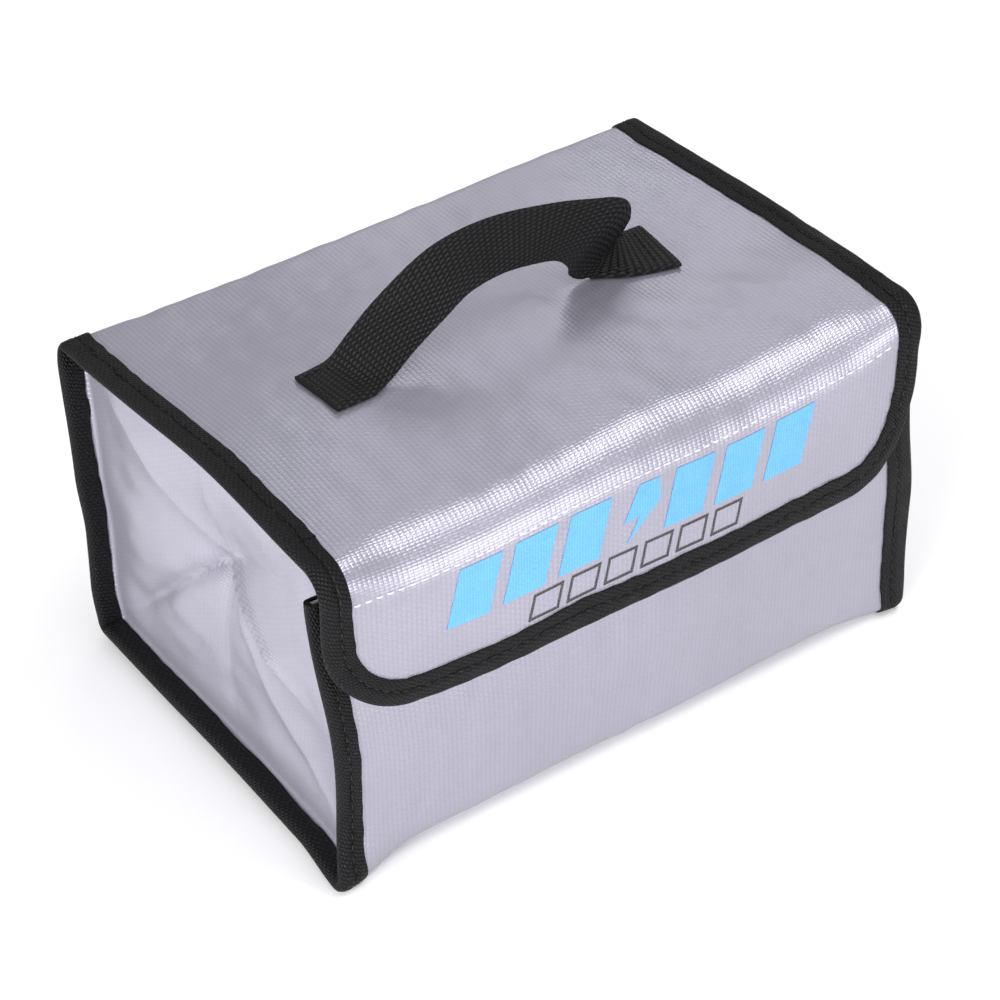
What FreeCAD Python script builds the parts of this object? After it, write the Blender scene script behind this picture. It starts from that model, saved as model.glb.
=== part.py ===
import FreeCAD, Part
import math
import os

import Sketcher

# A soft fireproof bag for batteries: a wrap of coated fabric that makes the front, the bottom
# and the back, two end panels sewn in with bound seams, and a lid that runs on into a flap.
# Frame: +X to the right end, -Y to the flap, +Z up. The origin is under the middle of the bag.
# The wrap is one cloth on the real bag. Here it parts at the two folds, so that each fold can turn.

SIZES = [
    # overall
    ("bag_length", 215.0),          # X, from rim to rim
    ("bag_depth", 143.0),           # Y, outside of the front cloth to outside of the back cloth
    ("bag_height", 115.0),          # Z, from the ground to the top of the lid cloth
    # cloth and tape
    ("outer_ply", 0.7),
    ("inner_ply", 0.5),
    ("tape_ply", 0.7),
    ("tape_width", 9.5),            # leg of the folded tape on the outside
    ("tape_tuck", 7.2),             # leg of the folded tape on the inside
    ("mouth_tape", 8.0),            # legs of the tape along the open edges
    # folds and corners
    ("end_recess", 8.5),            # rim to end panel
    ("front_bend", 6.0),            # bottom edge, front
    ("back_bend", 5.0),             # bottom edge, back
    ("lid_bend", 16.0),             # where the lid turns down into the flap
    ("bend_run", 2.0),              # flat stretch of the flap before its bend
    ("corner_ease", 4.0),           # the end panel's top corner is this much tighter than the lid's bend
    ("front_step", 1.5),            # front wall's top below the end panel's corner
    ("lid_gap", 0.3),
    ("fold_gap", 0.3),
    # flap
    ("flap_drop", 54.0),            # lid's top to the flap's lower edge
    ("flap_corner", 30.0),
    ("strip_length", 160.0),        # hook and loop strips
    ("strip_width", 16.0),
    ("strip_ply", 1.3),
    ("strip_grip", 0.3),            # between the hooks and the loops
    ("strip_gap", 0.3),             # front wall's tape to the strips below it
    # handle
    ("strap_width", 25.0),
    ("strap_ply", 1.8),
    ("strap_span", 100.0),          # between the two sewn ends
    ("strap_rise", 31.0),
    ("strap_free", 76.0),           # length along X of the part that swings
    ("pad_length", 14.0),
    ("pad_ply", 2.6),
    # sewing and print
    ("stitch_pitch", 3.6),
    ("stitch_length", 2.5),
    ("thread_ply", 0.4),
    ("tape_seam", 6.0),             # rim to the seam in the tape
    ("flap_seam", 18.0),            # lid's top to the white seam
    ("print_ply", 0.15),
    ("print_length", 124.0),
    ("print_height", 15.0),
]

doc = FreeCAD.newDocument("safe_bag")
sheet = doc.addObject("Spreadsheet::Sheet", "Sizes")
for row, (alias, number) in enumerate(SIZES, start=1):
    sheet.set(f"A{row}", alias)
    sheet.set(f"B{row}", str(number))
    sheet.setAlias(f"B{row}", alias)
doc.recompute()


class Size:
    """A length kept both as a number and as the sheet expression that gives it."""

    def __init__(self, number, text):
        self.number = float(number)
        self.text = text

    @staticmethod
    def of(other):
        if isinstance(other, Size):
            return other
        return Size(other, f"{float(other)!r} mm")

    def __add__(self, other):
        other = Size.of(other)
        return Size(self.number + other.number, f"({self.text} + {other.text})")

    def __sub__(self, other):
        other = Size.of(other)
        return Size(self.number - other.number, f"({self.text} - {other.text})")

    def __mul__(self, factor):
        return Size(self.number * factor, f"({self.text} * {factor})")

    def __truediv__(self, factor):
        return Size(self.number / factor, f"({self.text} / {factor})")

    def __neg__(self):
        return Size(-self.number, f"(-{self.text})")


def size(alias):
    return Size(sheet.get(alias), f"(Sizes.{alias} * 1 mm)")


# ---------------------------------------------------------------- driving planes

HALF = size("bag_length") / 2
TAPE = size("tape_ply")
OUTER = size("outer_ply")
INNER = size("inner_ply")
STACK = OUTER + INNER                                   # cloth and lining
FLANGE = STACK * 2                                      # what the end seams hold
STRIPS = size("strip_ply") * 2 + size("strip_grip")
STAND_OFF = STACK + STRIPS                              # front wall to the flap's outer face

FRONT = STAND_OFF / 2 - size("bag_depth") / 2           # outer face of the front wall
BACK = STAND_OFF / 2 + size("bag_depth") / 2            # outer face of the back wall
FLAP = FRONT - STAND_OFF                                # outer face of the flap
FLOOR = TAPE                                            # underside of the bottom cloth
TOP = size("bag_height")
BODY_TOP = TOP - STACK - TAPE - size("lid_gap")
PANEL_TOP = BODY_TOP - TAPE
MOUTH_CORNER = size("lid_bend") - size("corner_ease")
WALL_TOP = PANEL_TOP - MOUTH_CORNER - size("front_step")
FOLD = FLAP + size("lid_bend") + size("bend_run")       # where the flap starts
FLAP_END = TOP - size("flap_drop")
CLOTH_END = HALF - TAPE                                 # cut edge of the cloth in the rims
PANEL_OUT = HALF - size("end_recess")                   # outer face of an end panel
PANEL_IN = PANEL_OUT - OUTER
ROOM_END = PANEL_IN - INNER                             # inner face of an end lining
STRIP_LOW = WALL_TOP - size("mouth_tape") - size("strip_gap") - size("strip_width")
STRIP_FACE = FRONT - size("strip_ply")                  # tips of the hooks


# ---------------------------------------------------------------- sketch helpers

def plane(body, role):
    return next(f for f in body.Origin.OriginFeatures if f.Role == role)


def new_body(label):
    body = doc.addObject("PartDesign::Body", label)
    body.Label = label
    return body


def new_sketch(body, role, offset):
    """A sketch on one of the body's own planes, moved along the plane's normal by offset."""
    sketch = body.newObject("Sketcher::SketchObject", body.Label + "_sketch")
    sketch.AttachmentSupport = [(plane(body, role), "")]
    sketch.MapMode = "FlatFace"
    sketch.setExpression("AttachmentOffset.Base.z", offset.text)
    return sketch


def corner_of(side, after):
    """Where an upright and a level side meet."""
    if side[0] == "level":
        return FreeCAD.Vector(after[1].number, side[1].number, 0)
    return FreeCAD.Vector(side[1].number, after[1].number, 0)


def draw(sketch, sides):
    """A closed outline of level and upright sides, each (kind, place, radius of the corner after it).

    A level side's place is its height in the sketch, an upright side's place is how far it is to
    the right. Every side is tied to the sketch's origin, and every radius to the sheet."""
    count = len(sides)
    corners = [corner_of(sides[i], sides[(i + 1) % count]) for i in range(count)]
    starts, ends, arcs = [None] * count, [None] * count, [None] * count
    for i, (_, _, radius) in enumerate(sides):
        here, before, after = corners[i], corners[i - 1], corners[(i + 1) % count]
        back, ahead = (before - here).normalize(), (after - here).normalize()
        reach = radius.number if radius else 0.0
        ends[i] = here + back * reach
        starts[(i + 1) % count] = here + ahead * reach
        if radius:
            centre = here + (back + ahead) * reach
            middle = centre + (here - centre).normalize() * reach
            arcs[i] = Part.Arc(ends[i], middle, starts[(i + 1) % count])
    lines = [sketch.addGeometry(Part.LineSegment(a, b)) for a, b in zip(starts, ends)]
    for i, (kind, place, radius) in enumerate(sides):
        level = kind == "level"
        sketch.addConstraint(Sketcher.Constraint("Horizontal" if level else "Vertical", lines[i]))
        tie = sketch.addConstraint(Sketcher.Constraint(
            "DistanceY" if level else "DistanceX", -1, 1, lines[i], 1, place.number))
        sketch.setExpression(f"Constraints[{tie}]", place.text)
        after = lines[(i + 1) % count]
        if not radius:
            sketch.addConstraint(Sketcher.Constraint("Coincident", lines[i], 2, after, 1))
            continue
        arc = sketch.addGeometry(arcs[i])
        near = (sketch.getPoint(arc, 1) - ends[i]).Length < (sketch.getPoint(arc, 2) - ends[i]).Length
        first, last = (1, 2) if near else (2, 1)
        sketch.addConstraint(Sketcher.Constraint("Tangent", lines[i], 2, arc, first))
        sketch.addConstraint(Sketcher.Constraint("Tangent", arc, last, after, 1))
        tie = sketch.addConstraint(Sketcher.Constraint("Radius", arc, radius.number))
        sketch.setExpression(f"Constraints[{tie}]", radius.text)


def pad(body, role, start, length, *outlines):
    """Pad one or more outlines from start, by length, along the plane's normal."""
    sketch = new_sketch(body, role, start)
    for outline in outlines:
        draw(sketch, outline)
    feature = body.newObject("PartDesign::Pad", body.Label + "_pad")
    feature.Profile = sketch
    feature.setExpression("Length", length.text)
    return feature


def pocket(body, role, start, length, *outlines):
    """Cut outlines out of the body, from start, by length, along the plane's normal."""
    sketch = new_sketch(body, role, start)
    for outline in outlines:
        draw(sketch, outline)
    feature = body.newObject("PartDesign::Pocket", body.Label + "_pocket")
    feature.Profile = sketch
    feature.setExpression("Length", length.text)
    feature.Reversed = True
    return feature


def mirrored_pair(make, stem):
    """Make a left and a right piece: make(label, side), where side is -1 or +1."""
    return [make(f"{side_name}_{stem}", side) for side_name, side in (("left", -1), ("right", 1))]


def span(side, outer, inner):
    """Start and length along X of a stretch between two distances from the middle."""
    length = outer - inner
    return (-outer, length) if side < 0 else (inner, length)


def block(label, corner, extent):
    """A Part::Box with its corner and its three lengths tied to the sheet."""
    box = doc.addObject("Part::Box", label)
    box.Label = label
    for name, value in zip(("Length", "Width", "Height"), extent):
        box.setExpression(name, value.text)
    for axis, value in zip("xyz", corner):
        box.setExpression(f"Placement.Base.{axis}", value.text)
    return box


# ---------------------------------------------------------------- outlines in the Y-Z plane

def wall_ring(out, deep, front_top, back_top):
    """The band up the front, along the bottom and up the back, out and deep from the cloth's face."""
    return [
        ("upright", FRONT - out, size("front_bend") + out),
        ("level", FLOOR - out, size("back_bend") + out),
        ("upright", BACK + out, None),
        ("level", back_top, None),
        ("upright", BACK - deep, size("back_bend") - deep),
        ("level", FLOOR + deep, size("front_bend") - deep),
        ("upright", FRONT + deep, None),
        ("level", front_top, None),
    ]


def end_plate(deep):
    """The outline of an end panel that fits inside the wall, deep from the cloth's outer face."""
    return [
        ("upright", FRONT + deep, size("front_bend") - deep),
        ("level", FLOOR + deep, size("back_bend") - deep),
        ("upright", BACK - deep, None),
        ("level", PANEL_TOP, MOUTH_CORNER),
    ]


def mouth_band(out, deep):
    """The band along an end panel's top edge and round its front corner."""
    edge = FRONT + STACK + INNER
    return [
        ("level", PANEL_TOP + out, MOUTH_CORNER + out),
        ("upright", edge - out, None),
        ("level", WALL_TOP + TAPE, None),
        ("upright", edge + deep, MOUTH_CORNER - deep),
        ("level", PANEL_TOP - deep, None),
        ("upright", BACK - FLANGE, None),
    ]


def flap_section(out, deep):
    """The lid's bend and the hanging flap, out and deep from the flap's outer face."""
    bend = size("lid_bend")
    return [
        ("level", TOP + out, bend + out),
        ("upright", FLAP - out, None),
        ("level", FLAP_END, None),
        ("upright", FLAP + deep, bend - deep),
        ("level", TOP - deep, None),
        ("upright", FOLD, None),
    ]


# ---------------------------------------------------------------- outlines in the X-Z plane

def flap_front(inset):
    """The flap seen from the front, open at the top, with its cut edge moved in by inset."""
    corner = size("flap_corner") - inset
    return [
        ("upright", -(HALF - inset), corner),
        ("level", FLAP_END + inset, corner),
        ("upright", HALF - inset, None),
        ("level", TOP + size("lid_bend"), None),
    ]


def surround():
    """A rectangle well outside the flap."""
    margin = size("lid_bend") * 2
    return [
        ("upright", -(HALF + margin), None),
        ("level", FLAP_END - margin, None),
        ("upright", HALF + margin, None),
        ("level", TOP + margin, None),
    ]


# ---------------------------------------------------------------- the box of the bag

def make_wrap(label, out, deep):
    body = new_body(label)
    pad(body, "YZ_Plane", -CLOTH_END, CLOTH_END * 2, wall_ring(out, deep, WALL_TOP, BODY_TOP))
    return body


def make_end_panel(label, side):
    """The plate and, along its edge, the lip that is sewn into the rim."""
    body = new_body(label)
    pad(body, "YZ_Plane", *span(side, PANEL_OUT, PANEL_IN), end_plate(STACK + INNER))
    lip = wall_ring(-(STACK + INNER), FLANGE, WALL_TOP, PANEL_TOP)
    pad(body, "YZ_Plane", *span(side, CLOTH_END, PANEL_IN), lip)
    return body


def make_end_lining(label, side):
    body = new_body(label)
    pad(body, "YZ_Plane", *span(side, PANEL_IN, ROOM_END), end_plate(STACK + INNER))
    lip = wall_ring(-STACK, STACK + INNER, WALL_TOP, PANEL_TOP)
    pad(body, "YZ_Plane", *span(side, CLOTH_END, ROOM_END), lip)
    return body


def make_end_binding(label, side):
    """The tape folded over the rim: the fold and its two legs."""
    body = new_body(label)
    tops = (WALL_TOP + TAPE, BODY_TOP)
    pad(body, "YZ_Plane", *span(side, HALF, CLOTH_END), wall_ring(TAPE, FLANGE + TAPE, *tops))
    outside = wall_ring(TAPE, TAPE * 0, *tops)
    pad(body, "YZ_Plane", *span(side, CLOTH_END, HALF - size("tape_width")), outside)
    inside = wall_ring(-FLANGE, FLANGE + TAPE, *tops)
    pad(body, "YZ_Plane", *span(side, CLOTH_END, HALF - size("tape_tuck")), inside)
    return body


def make_mouth_binding(label, side):
    """The tape folded over an end panel's top edge."""
    body = new_body(label)
    legs = size("mouth_tape")
    pad(body, "YZ_Plane", *span(side, PANEL_OUT + TAPE, ROOM_END - TAPE), mouth_band(TAPE, legs))
    pocket(body, "YZ_Plane", *span(side, PANEL_OUT, ROOM_END), mouth_band(TAPE * 0, legs + TAPE))
    return body


def make_front_binding(label):
    """The tape folded over the front wall's top edge, between the two end panels."""
    body = new_body(label)
    half = ROOM_END - TAPE
    legs = size("mouth_tape")
    outside = [
        ("upright", FRONT - TAPE, None),
        ("level", WALL_TOP - legs, None),
        ("upright", FRONT, None),
        ("level", WALL_TOP, None),
        ("upright", FRONT + STACK, None),
        ("level", WALL_TOP - legs, None),
        ("upright", FRONT + STACK + TAPE, None),
        ("level", WALL_TOP + TAPE, None),
    ]
    pad(body, "YZ_Plane", -half, half * 2, outside)
    return body


def make_strip(label, face):
    """A hook or loop strip, with the face that it is sewn to at its +Y side."""
    length = size("strip_length")
    return block(label, (-(length / 2), face, STRIP_LOW), (length, size("strip_ply"), size("strip_width")))


# ---------------------------------------------------------------- the lid

LID_START = FOLD + size("fold_gap")
LID_DEPTH = BACK - LID_START


def make_lid_sheet(label, low, ply):
    return block(label, (-CLOTH_END, LID_START, low), (CLOTH_END * 2, LID_DEPTH, ply))


def make_lid_binding(label, side):
    """The tape folded over one end edge of the lid."""
    body = new_body(label)
    fold_start, fold_length = span(side, HALF, CLOTH_END)
    reach = -1 if side < 0 else 1
    low, high = TOP - STACK - TAPE, TOP + TAPE
    section = [
        ("upright", HALF * reach, None),
        ("level", high, None),
        ("upright", (HALF - size("tape_width")) * reach, None),
        ("level", TOP, None),
        ("upright", CLOTH_END * reach, None),
        ("level", TOP - STACK, None),
        ("upright", (HALF - size("tape_tuck")) * reach, None),
        ("level", low, None),
    ]
    # the X-Z plane's normal points to -Y
    pad(body, "XZ_Plane", -BACK, LID_DEPTH, section)
    return body


# ---------------------------------------------------------------- the flap

def cut_to_flap(body, inset):
    """Take away what is outside the flap's edge, which is moved in by inset."""
    depth = size("lid_bend") + size("bag_depth")
    pocket(body, "XZ_Plane", -(FOLD + size("lid_bend")), depth, surround(), flap_front(inset))


def make_flap_sheet(label, out, deep):
    body = new_body(label)
    pad(body, "YZ_Plane", -HALF, HALF * 2, flap_section(out, deep))
    cut_to_flap(body, TAPE)
    return body


def make_flap_binding(label, sheets):
    """The tape folded round the flap's edge: a frame, less the cloth that it holds."""
    body = new_body(label + "_frame")
    pad(body, "YZ_Plane", -HALF, HALF * 2, flap_section(TAPE, STACK + TAPE))
    cut_to_flap(body, TAPE * 0)
    depth = size("lid_bend") + size("bag_depth")
    pocket(body, "XZ_Plane", -(FOLD + size("lid_bend")), depth, flap_front(size("tape_width")))
    cloth = doc.addObject("Part::MultiFuse", label + "_cloth")
    cloth.Shapes = sheets
    binding = doc.addObject("Part::Cut", label)
    binding.Label = label
    binding.Base = body
    binding.Tool = cloth
    return binding


# ---------------------------------------------------------------- the handle

RISE = size("strap_rise").number
REACH = size("strap_span").number / 2
ARCH = (REACH ** 2 + RISE ** 2) / (2 * RISE)             # radius of the strap's outer face
ARCH_TEXT = "((Sizes.strap_span / 2) ^ 2 + Sizes.strap_rise ^ 2) / (2 * Sizes.strap_rise) * 1 mm"
ARCH_RADIUS = Size(ARCH, f"({ARCH_TEXT})")
ARCH_CENTRE = TOP + size("strap_rise") - ARCH_RADIUS
FREE = size("strap_free") / 2


def cylinder(label, radius):
    """A cylinder along Y, as wide as the strap, about the arch's centre."""
    solid = doc.addObject("Part::Cylinder", label)
    solid.setExpression("Radius", radius.text)
    solid.setExpression("Height", size("strap_width").text)
    solid.Placement = FreeCAD.Placement(
        FreeCAD.Vector(), FreeCAD.Rotation(FreeCAD.Vector(1, 0, 0), -90))
    solid.setExpression("Placement.Base.y", (-(size("strap_width") / 2)).text)
    solid.setExpression("Placement.Base.z", ARCH_CENTRE.text)
    return solid


def arch_piece(label, start, length):
    """The strap's arch between two places along X, above the lid."""
    ring = doc.addObject("Part::Cut", label + "_ring")
    ring.Base = cylinder(label + "_outer", ARCH_RADIUS)
    ring.Tool = cylinder(label + "_inner", ARCH_RADIUS - size("strap_ply"))
    window = block(label + "_window", (start, -size("strap_width"), TOP),
                   (length, size("strap_width") * 2, size("strap_rise") * 2))
    piece = doc.addObject("Part::Common", label)
    piece.Label = label
    piece.Base = ring
    piece.Tool = window
    return piece


def make_handle_end(side_name, side):
    """A sewn end of the strap: the folded pad and the first stretch of the arch."""
    label = f"handle_{side_name}_end"
    reach = size("strap_span") / 2
    riser = arch_piece(label + "_riser", *span(side, reach + size("strap_ply"), FREE + size("fold_gap")))
    start, length = span(side, reach + size("pad_length"), reach - size("strap_ply"))
    sole = block(label + "_sole", (start, -(size("strap_width") / 2), TOP),
                 (length, size("strap_width"), size("pad_ply")))
    end = doc.addObject("Part::MultiFuse", label)
    end.Label = label
    end.Shapes = [riser, sole]
    return end


# ---------------------------------------------------------------- sewing and print

def number(alias):
    return float(sheet.get(alias))


def stitch(start, along, normal):
    """One stitch: a flat bar that lies on a surface at start and runs along."""
    width = number("thread_ply")
    side = along.cross(normal)
    bar = Part.makePolygon([
        start - side * (width / 2), start + side * (width / 2),
        start + side * (width / 2) + normal * width, start - side * (width / 2) + normal * width,
        start - side * (width / 2)])
    return Part.Face(bar).extrude(along * number("stitch_length"))


def seam(start, end, normal):
    """A row of stitches from start to end on a surface with this normal."""
    along = end - start
    pitch = number("stitch_pitch")
    count = max(1, int((along.Length - number("stitch_length")) / pitch) + 1)
    spare = along.Length - (count - 1) * pitch - number("stitch_length")
    step = FreeCAD.Vector(along).normalize()
    return [stitch(start + step * (spare / 2 + i * pitch), step, normal) for i in range(count)]


def group(label, solids):
    feature = doc.addObject("Part::Feature", label)
    feature.Label = label
    feature.Shape = Part.makeCompound(solids)
    return feature


def point(x, y, z):
    return FreeCAD.Vector(x, y, z)


def make_end_seam(label, side):
    """The seam in a rim's tape, up the front, along the bottom and up the back."""
    x = side * (HALF.number - number("tape_seam"))
    low, tape = FLOOR.number, TAPE.number
    front, back = FRONT.number - tape, BACK.number + tape
    rows = seam(point(x, front, low + number("front_bend")), point(x, front, WALL_TOP.number), point(0, -1, 0))
    rows += seam(point(x, back, low + number("back_bend")), point(x, back, BODY_TOP.number), point(0, 1, 0))
    return group(label, rows)


def make_lid_seam(label, side):
    x = side * (HALF.number - number("tape_seam"))
    z = (TOP + TAPE).number
    return group(label, seam(point(x, LID_START.number, z), point(x, BACK.number, z), point(0, 0, 1)))


def make_flap_seam():
    """The white seam across the flap, between its taped edges."""
    reach = HALF.number - number("tape_width")
    z = TOP.number - number("flap_seam")
    return group("flap_seam", seam(point(-reach, FLAP.number, z), point(reach, FLAP.number, z), point(0, -1, 0)))


def make_flap_edge_seam():
    """The seam in the tape along the flap's lower edge."""
    reach = HALF.number - number("flap_corner")
    y = (FLAP - TAPE).number
    z = FLAP_END.number + number("tape_seam")
    return group("flap_edge_seam", seam(point(-reach, y, z), point(reach, y, z), point(0, -1, 0)))


def make_strip_seam(label):
    """Two rows that hold the hook strip, on the lining inside the bag."""
    reach = number("strip_length") / 2
    y = (FRONT + STACK).number
    low = STRIP_LOW.number
    rows = []
    for z in (low + number("stitch_length"), low + number("strip_width") - number("stitch_length")):
        rows += seam(point(-reach, y, z), point(reach, y, z), point(0, 1, 0))
    return group(label, rows)


def make_pad_seam(side_name, side):
    """A sewn rectangle on a strap end."""
    inner = number("strap_span") / 2
    edge = number("stitch_pitch") / 2
    z = (TOP + size("pad_ply")).number
    near, far = side * (inner + edge), side * (inner + number("pad_length") - edge)
    half = number("strap_width") / 2 - edge
    rows = []
    for x in (near, far):
        rows += seam(point(x, -half + edge, z), point(x, half - edge, z), point(0, 0, 1))
    for y in (-half, half):
        rows += seam(point(min(near, far) + edge, y, z), point(max(near, far) - edge, y, z), point(0, 0, 1))
    return group(f"handle_{side_name}_seam", rows)


def printed(points):
    """A printed patch on the flap, from points (x, z) in its plane."""
    face = FLAP.number
    wire = Part.makePolygon([point(x, face, z) for x, z in points + points[:1]])
    return Part.Face(wire).extrude(point(0, -number("print_ply"), 0))


def slanted(left, right, low, high, lean):
    """A bar that leans to the right."""
    return [(left, low), (right, low), (right + lean, high), (left + lean, high)]


def make_charge_print():
    """A row of leaning charge bars with a lightning bolt in the middle."""
    length, tall = number("print_length"), number("print_height")
    high = TOP.number - number("flap_seam") - tall / 10
    low = high - tall
    bars, lean = 9, tall / 4
    pitch = length / bars
    patches = []
    for i in range(bars):
        left = -length / 2 + i * pitch
        if i == bars // 2:
            middle = left + pitch / 2
            patches.append(printed([
                (middle - pitch * 0.05, low), (middle + pitch * 0.42, low + tall * 0.58),
                (middle + pitch * 0.05, low + tall * 0.58), (middle + pitch * 0.30, high),
                (middle - pitch * 0.42, low + tall * 0.40), (middle - pitch * 0.02, low + tall * 0.40)]))
        else:
            patches.append(printed(slanted(left, left + pitch * 0.74, low, high, lean)))
    return group("charge_print", patches)


def make_cell_print():
    """A row of small outlined cells below the charge bars."""
    tall = number("print_height") / 2
    high = TOP.number - number("flap_seam") - number("print_height") * 1.225
    low = high - tall
    cells, line = 6, tall / 8
    pitch = number("print_length") / 2 / cells
    patches = []
    for i in range(cells):
        left = (i - cells / 2) * pitch
        frame = printed(slanted(left, left + pitch * 0.8, low, high, tall / 4))
        hole = printed(slanted(left + line * 1.2, left + pitch * 0.8 - line * 1.0, low + line, high - line,
                               (tall - 2 * line) / 4))
        patches.append(frame.cut(hole))
    return group("cell_print", patches)


# ---------------------------------------------------------------- assembly

parts = [
    make_wrap("wrap_shell", TAPE * 0, OUTER),
    make_wrap("wrap_lining", -OUTER, STACK),
]
parts += mirrored_pair(make_end_panel, "end_panel")
parts += mirrored_pair(make_end_lining, "end_lining")
parts += mirrored_pair(make_end_binding, "end_binding")
parts += mirrored_pair(make_mouth_binding, "mouth_binding")
parts += mirrored_pair(make_end_seam, "end_seam")
parts += [
    make_front_binding("front_mouth_binding"),
    make_strip("hook_strip", STRIP_FACE),
    make_strip_seam("hook_strip_seam"),
    make_lid_sheet("lid_panel", TOP - OUTER, OUTER),
    make_lid_sheet("lid_lining", TOP - STACK, INNER),
]
parts += mirrored_pair(make_lid_binding, "lid_binding")
parts += mirrored_pair(make_lid_seam, "lid_seam")
parts += [make_handle_end(name, side) for name, side in (("left", -1), ("right", 1))]
parts += [make_pad_seam(name, side) for name, side in (("left", -1), ("right", 1))]
parts.append(arch_piece("handle_strap", -FREE, FREE * 2))
flap_sheets = [
    make_flap_sheet("flap_panel", TAPE * 0, OUTER),
    make_flap_sheet("flap_lining", -OUTER, STACK),
]
parts += flap_sheets
parts += [
    make_flap_binding("flap_binding", flap_sheets),
    make_strip("loop_strip", FLAP + STACK),
    make_flap_seam(),
    make_flap_edge_seam(),
    make_charge_print(),
    make_cell_print(),
]

doc.recompute()
for item in doc.Objects:
    if "Invalid" in item.State or "Error" in item.State:
        raise SystemExit(f"{item.Label} did not compute: {item.State}")
for item in parts:
    if item.Shape.isNull() or not item.Shape.isValid():
        raise SystemExit(f"{item.Label} has no valid shape")

os.makedirs("parts", exist_ok=True)
for item in parts:
    item.Shape.exportStep(f"parts/{item.Label}.step")
    print(f"{item.Label:22s} {len(item.Shape.Solids):4d} solids {item.Shape.Volume:10.1f} mm3")
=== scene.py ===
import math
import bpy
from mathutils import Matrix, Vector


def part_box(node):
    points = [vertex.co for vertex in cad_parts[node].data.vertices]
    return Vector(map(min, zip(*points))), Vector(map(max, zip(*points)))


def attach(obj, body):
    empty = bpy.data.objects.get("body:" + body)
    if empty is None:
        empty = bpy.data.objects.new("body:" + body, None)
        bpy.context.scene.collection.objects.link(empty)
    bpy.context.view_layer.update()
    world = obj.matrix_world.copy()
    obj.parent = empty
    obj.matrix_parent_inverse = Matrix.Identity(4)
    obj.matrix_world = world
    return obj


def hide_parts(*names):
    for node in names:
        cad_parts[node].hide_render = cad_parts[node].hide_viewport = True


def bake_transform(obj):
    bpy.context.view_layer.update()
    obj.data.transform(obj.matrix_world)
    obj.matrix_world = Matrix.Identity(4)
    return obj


bl_info = {
    "name": "Battery Safe Bag",
    "version": (1, 0, 0),
    "blender": (4, 5, 0),
    "location": "3D View > Sidebar > Safe Bag",
    "description": "Builds a soft fireproof battery bag: cloth, bound seams, flap and webbing handle",
    "category": "Add Mesh",
}

import bmesh
import bpy
import numpy as np
from bpy.props import FloatProperty, FloatVectorProperty, PointerProperty
from mathutils import Matrix, Vector

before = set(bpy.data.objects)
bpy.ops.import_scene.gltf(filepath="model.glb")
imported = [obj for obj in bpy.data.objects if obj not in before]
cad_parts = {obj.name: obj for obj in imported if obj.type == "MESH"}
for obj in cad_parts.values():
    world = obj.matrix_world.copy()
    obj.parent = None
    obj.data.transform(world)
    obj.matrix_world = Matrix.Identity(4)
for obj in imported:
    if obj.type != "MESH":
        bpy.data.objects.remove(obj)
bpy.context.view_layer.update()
MM = 0.001


# ---------------------------------------------------------------- sizes read from the frame

def low_high(node):
    low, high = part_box(node)
    return np.array(low), np.array(high)


WRAP_LOW, WRAP_HIGH = low_high("wrap_shell")
LID_LOW, LID_HIGH = low_high("lid_panel")
RIM_LOW, RIM_HIGH = low_high("left_end_binding")
EDGE_LOW, EDGE_HIGH = low_high("flap_binding")
HOOK_LOW, HOOK_HIGH = low_high("hook_strip")
LOOP_LOW, LOOP_HIGH = low_high("loop_strip")
FRONT_TAPE_LOW, FRONT_TAPE_HIGH = low_high("front_mouth_binding")
PRINT_LOW, PRINT_HIGH = low_high("charge_print")
CELL_LOW, CELL_HIGH = low_high("cell_print")

HALF = EDGE_HIGH[0]                         # middle to the outside of a rim
CLOTH_HALF = WRAP_HIGH[0]                   # middle to the cut edge of the cloth
TAPE = HALF - CLOTH_HALF                    # thickness of the binding tape
TAPE_WIDTH = RIM_HIGH[0] - RIM_LOW[0]
FRONT, BACK = WRAP_LOW[1], WRAP_HIGH[1]
FLOOR, TOP = WRAP_LOW[2], LID_HIGH[2]
BODY_TOP = WRAP_HIGH[2]
FLAP_FACE = low_high("flap_panel")[0][1]
FLAP_END = EDGE_LOW[2]
FOLD = EDGE_HIGH[1]                         # where the flap starts to turn down
PLY = LID_HIGH[2] - LID_LOW[2]
LINING = low_high("lid_lining")[1][2] - low_high("lid_lining")[0][2]
STACK = PLY + LINING
WALL_TOP = FRONT_TAPE_HIGH[2] - TAPE
FLAP_CORNER = 30 * MM
# the wrap's bends: bottom front, bottom back, lid fold and flap
SOFT_BENDS = (10 * MM, 8 * MM, 3.5 * MM, 15 * MM)     # in the middle
TIGHT_BENDS = (4 * MM, 3.5 * MM, 2.5 * MM, 9 * MM)    # at the rims
WALL_SPLIT = 22 * MM                        # from the top down to where the wrap becomes the lid piece
END_PLANE = low_high("right_end_panel")[0][0] + PLY     # outer face of an end panel


# ---------------------------------------------------------------- settings

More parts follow.
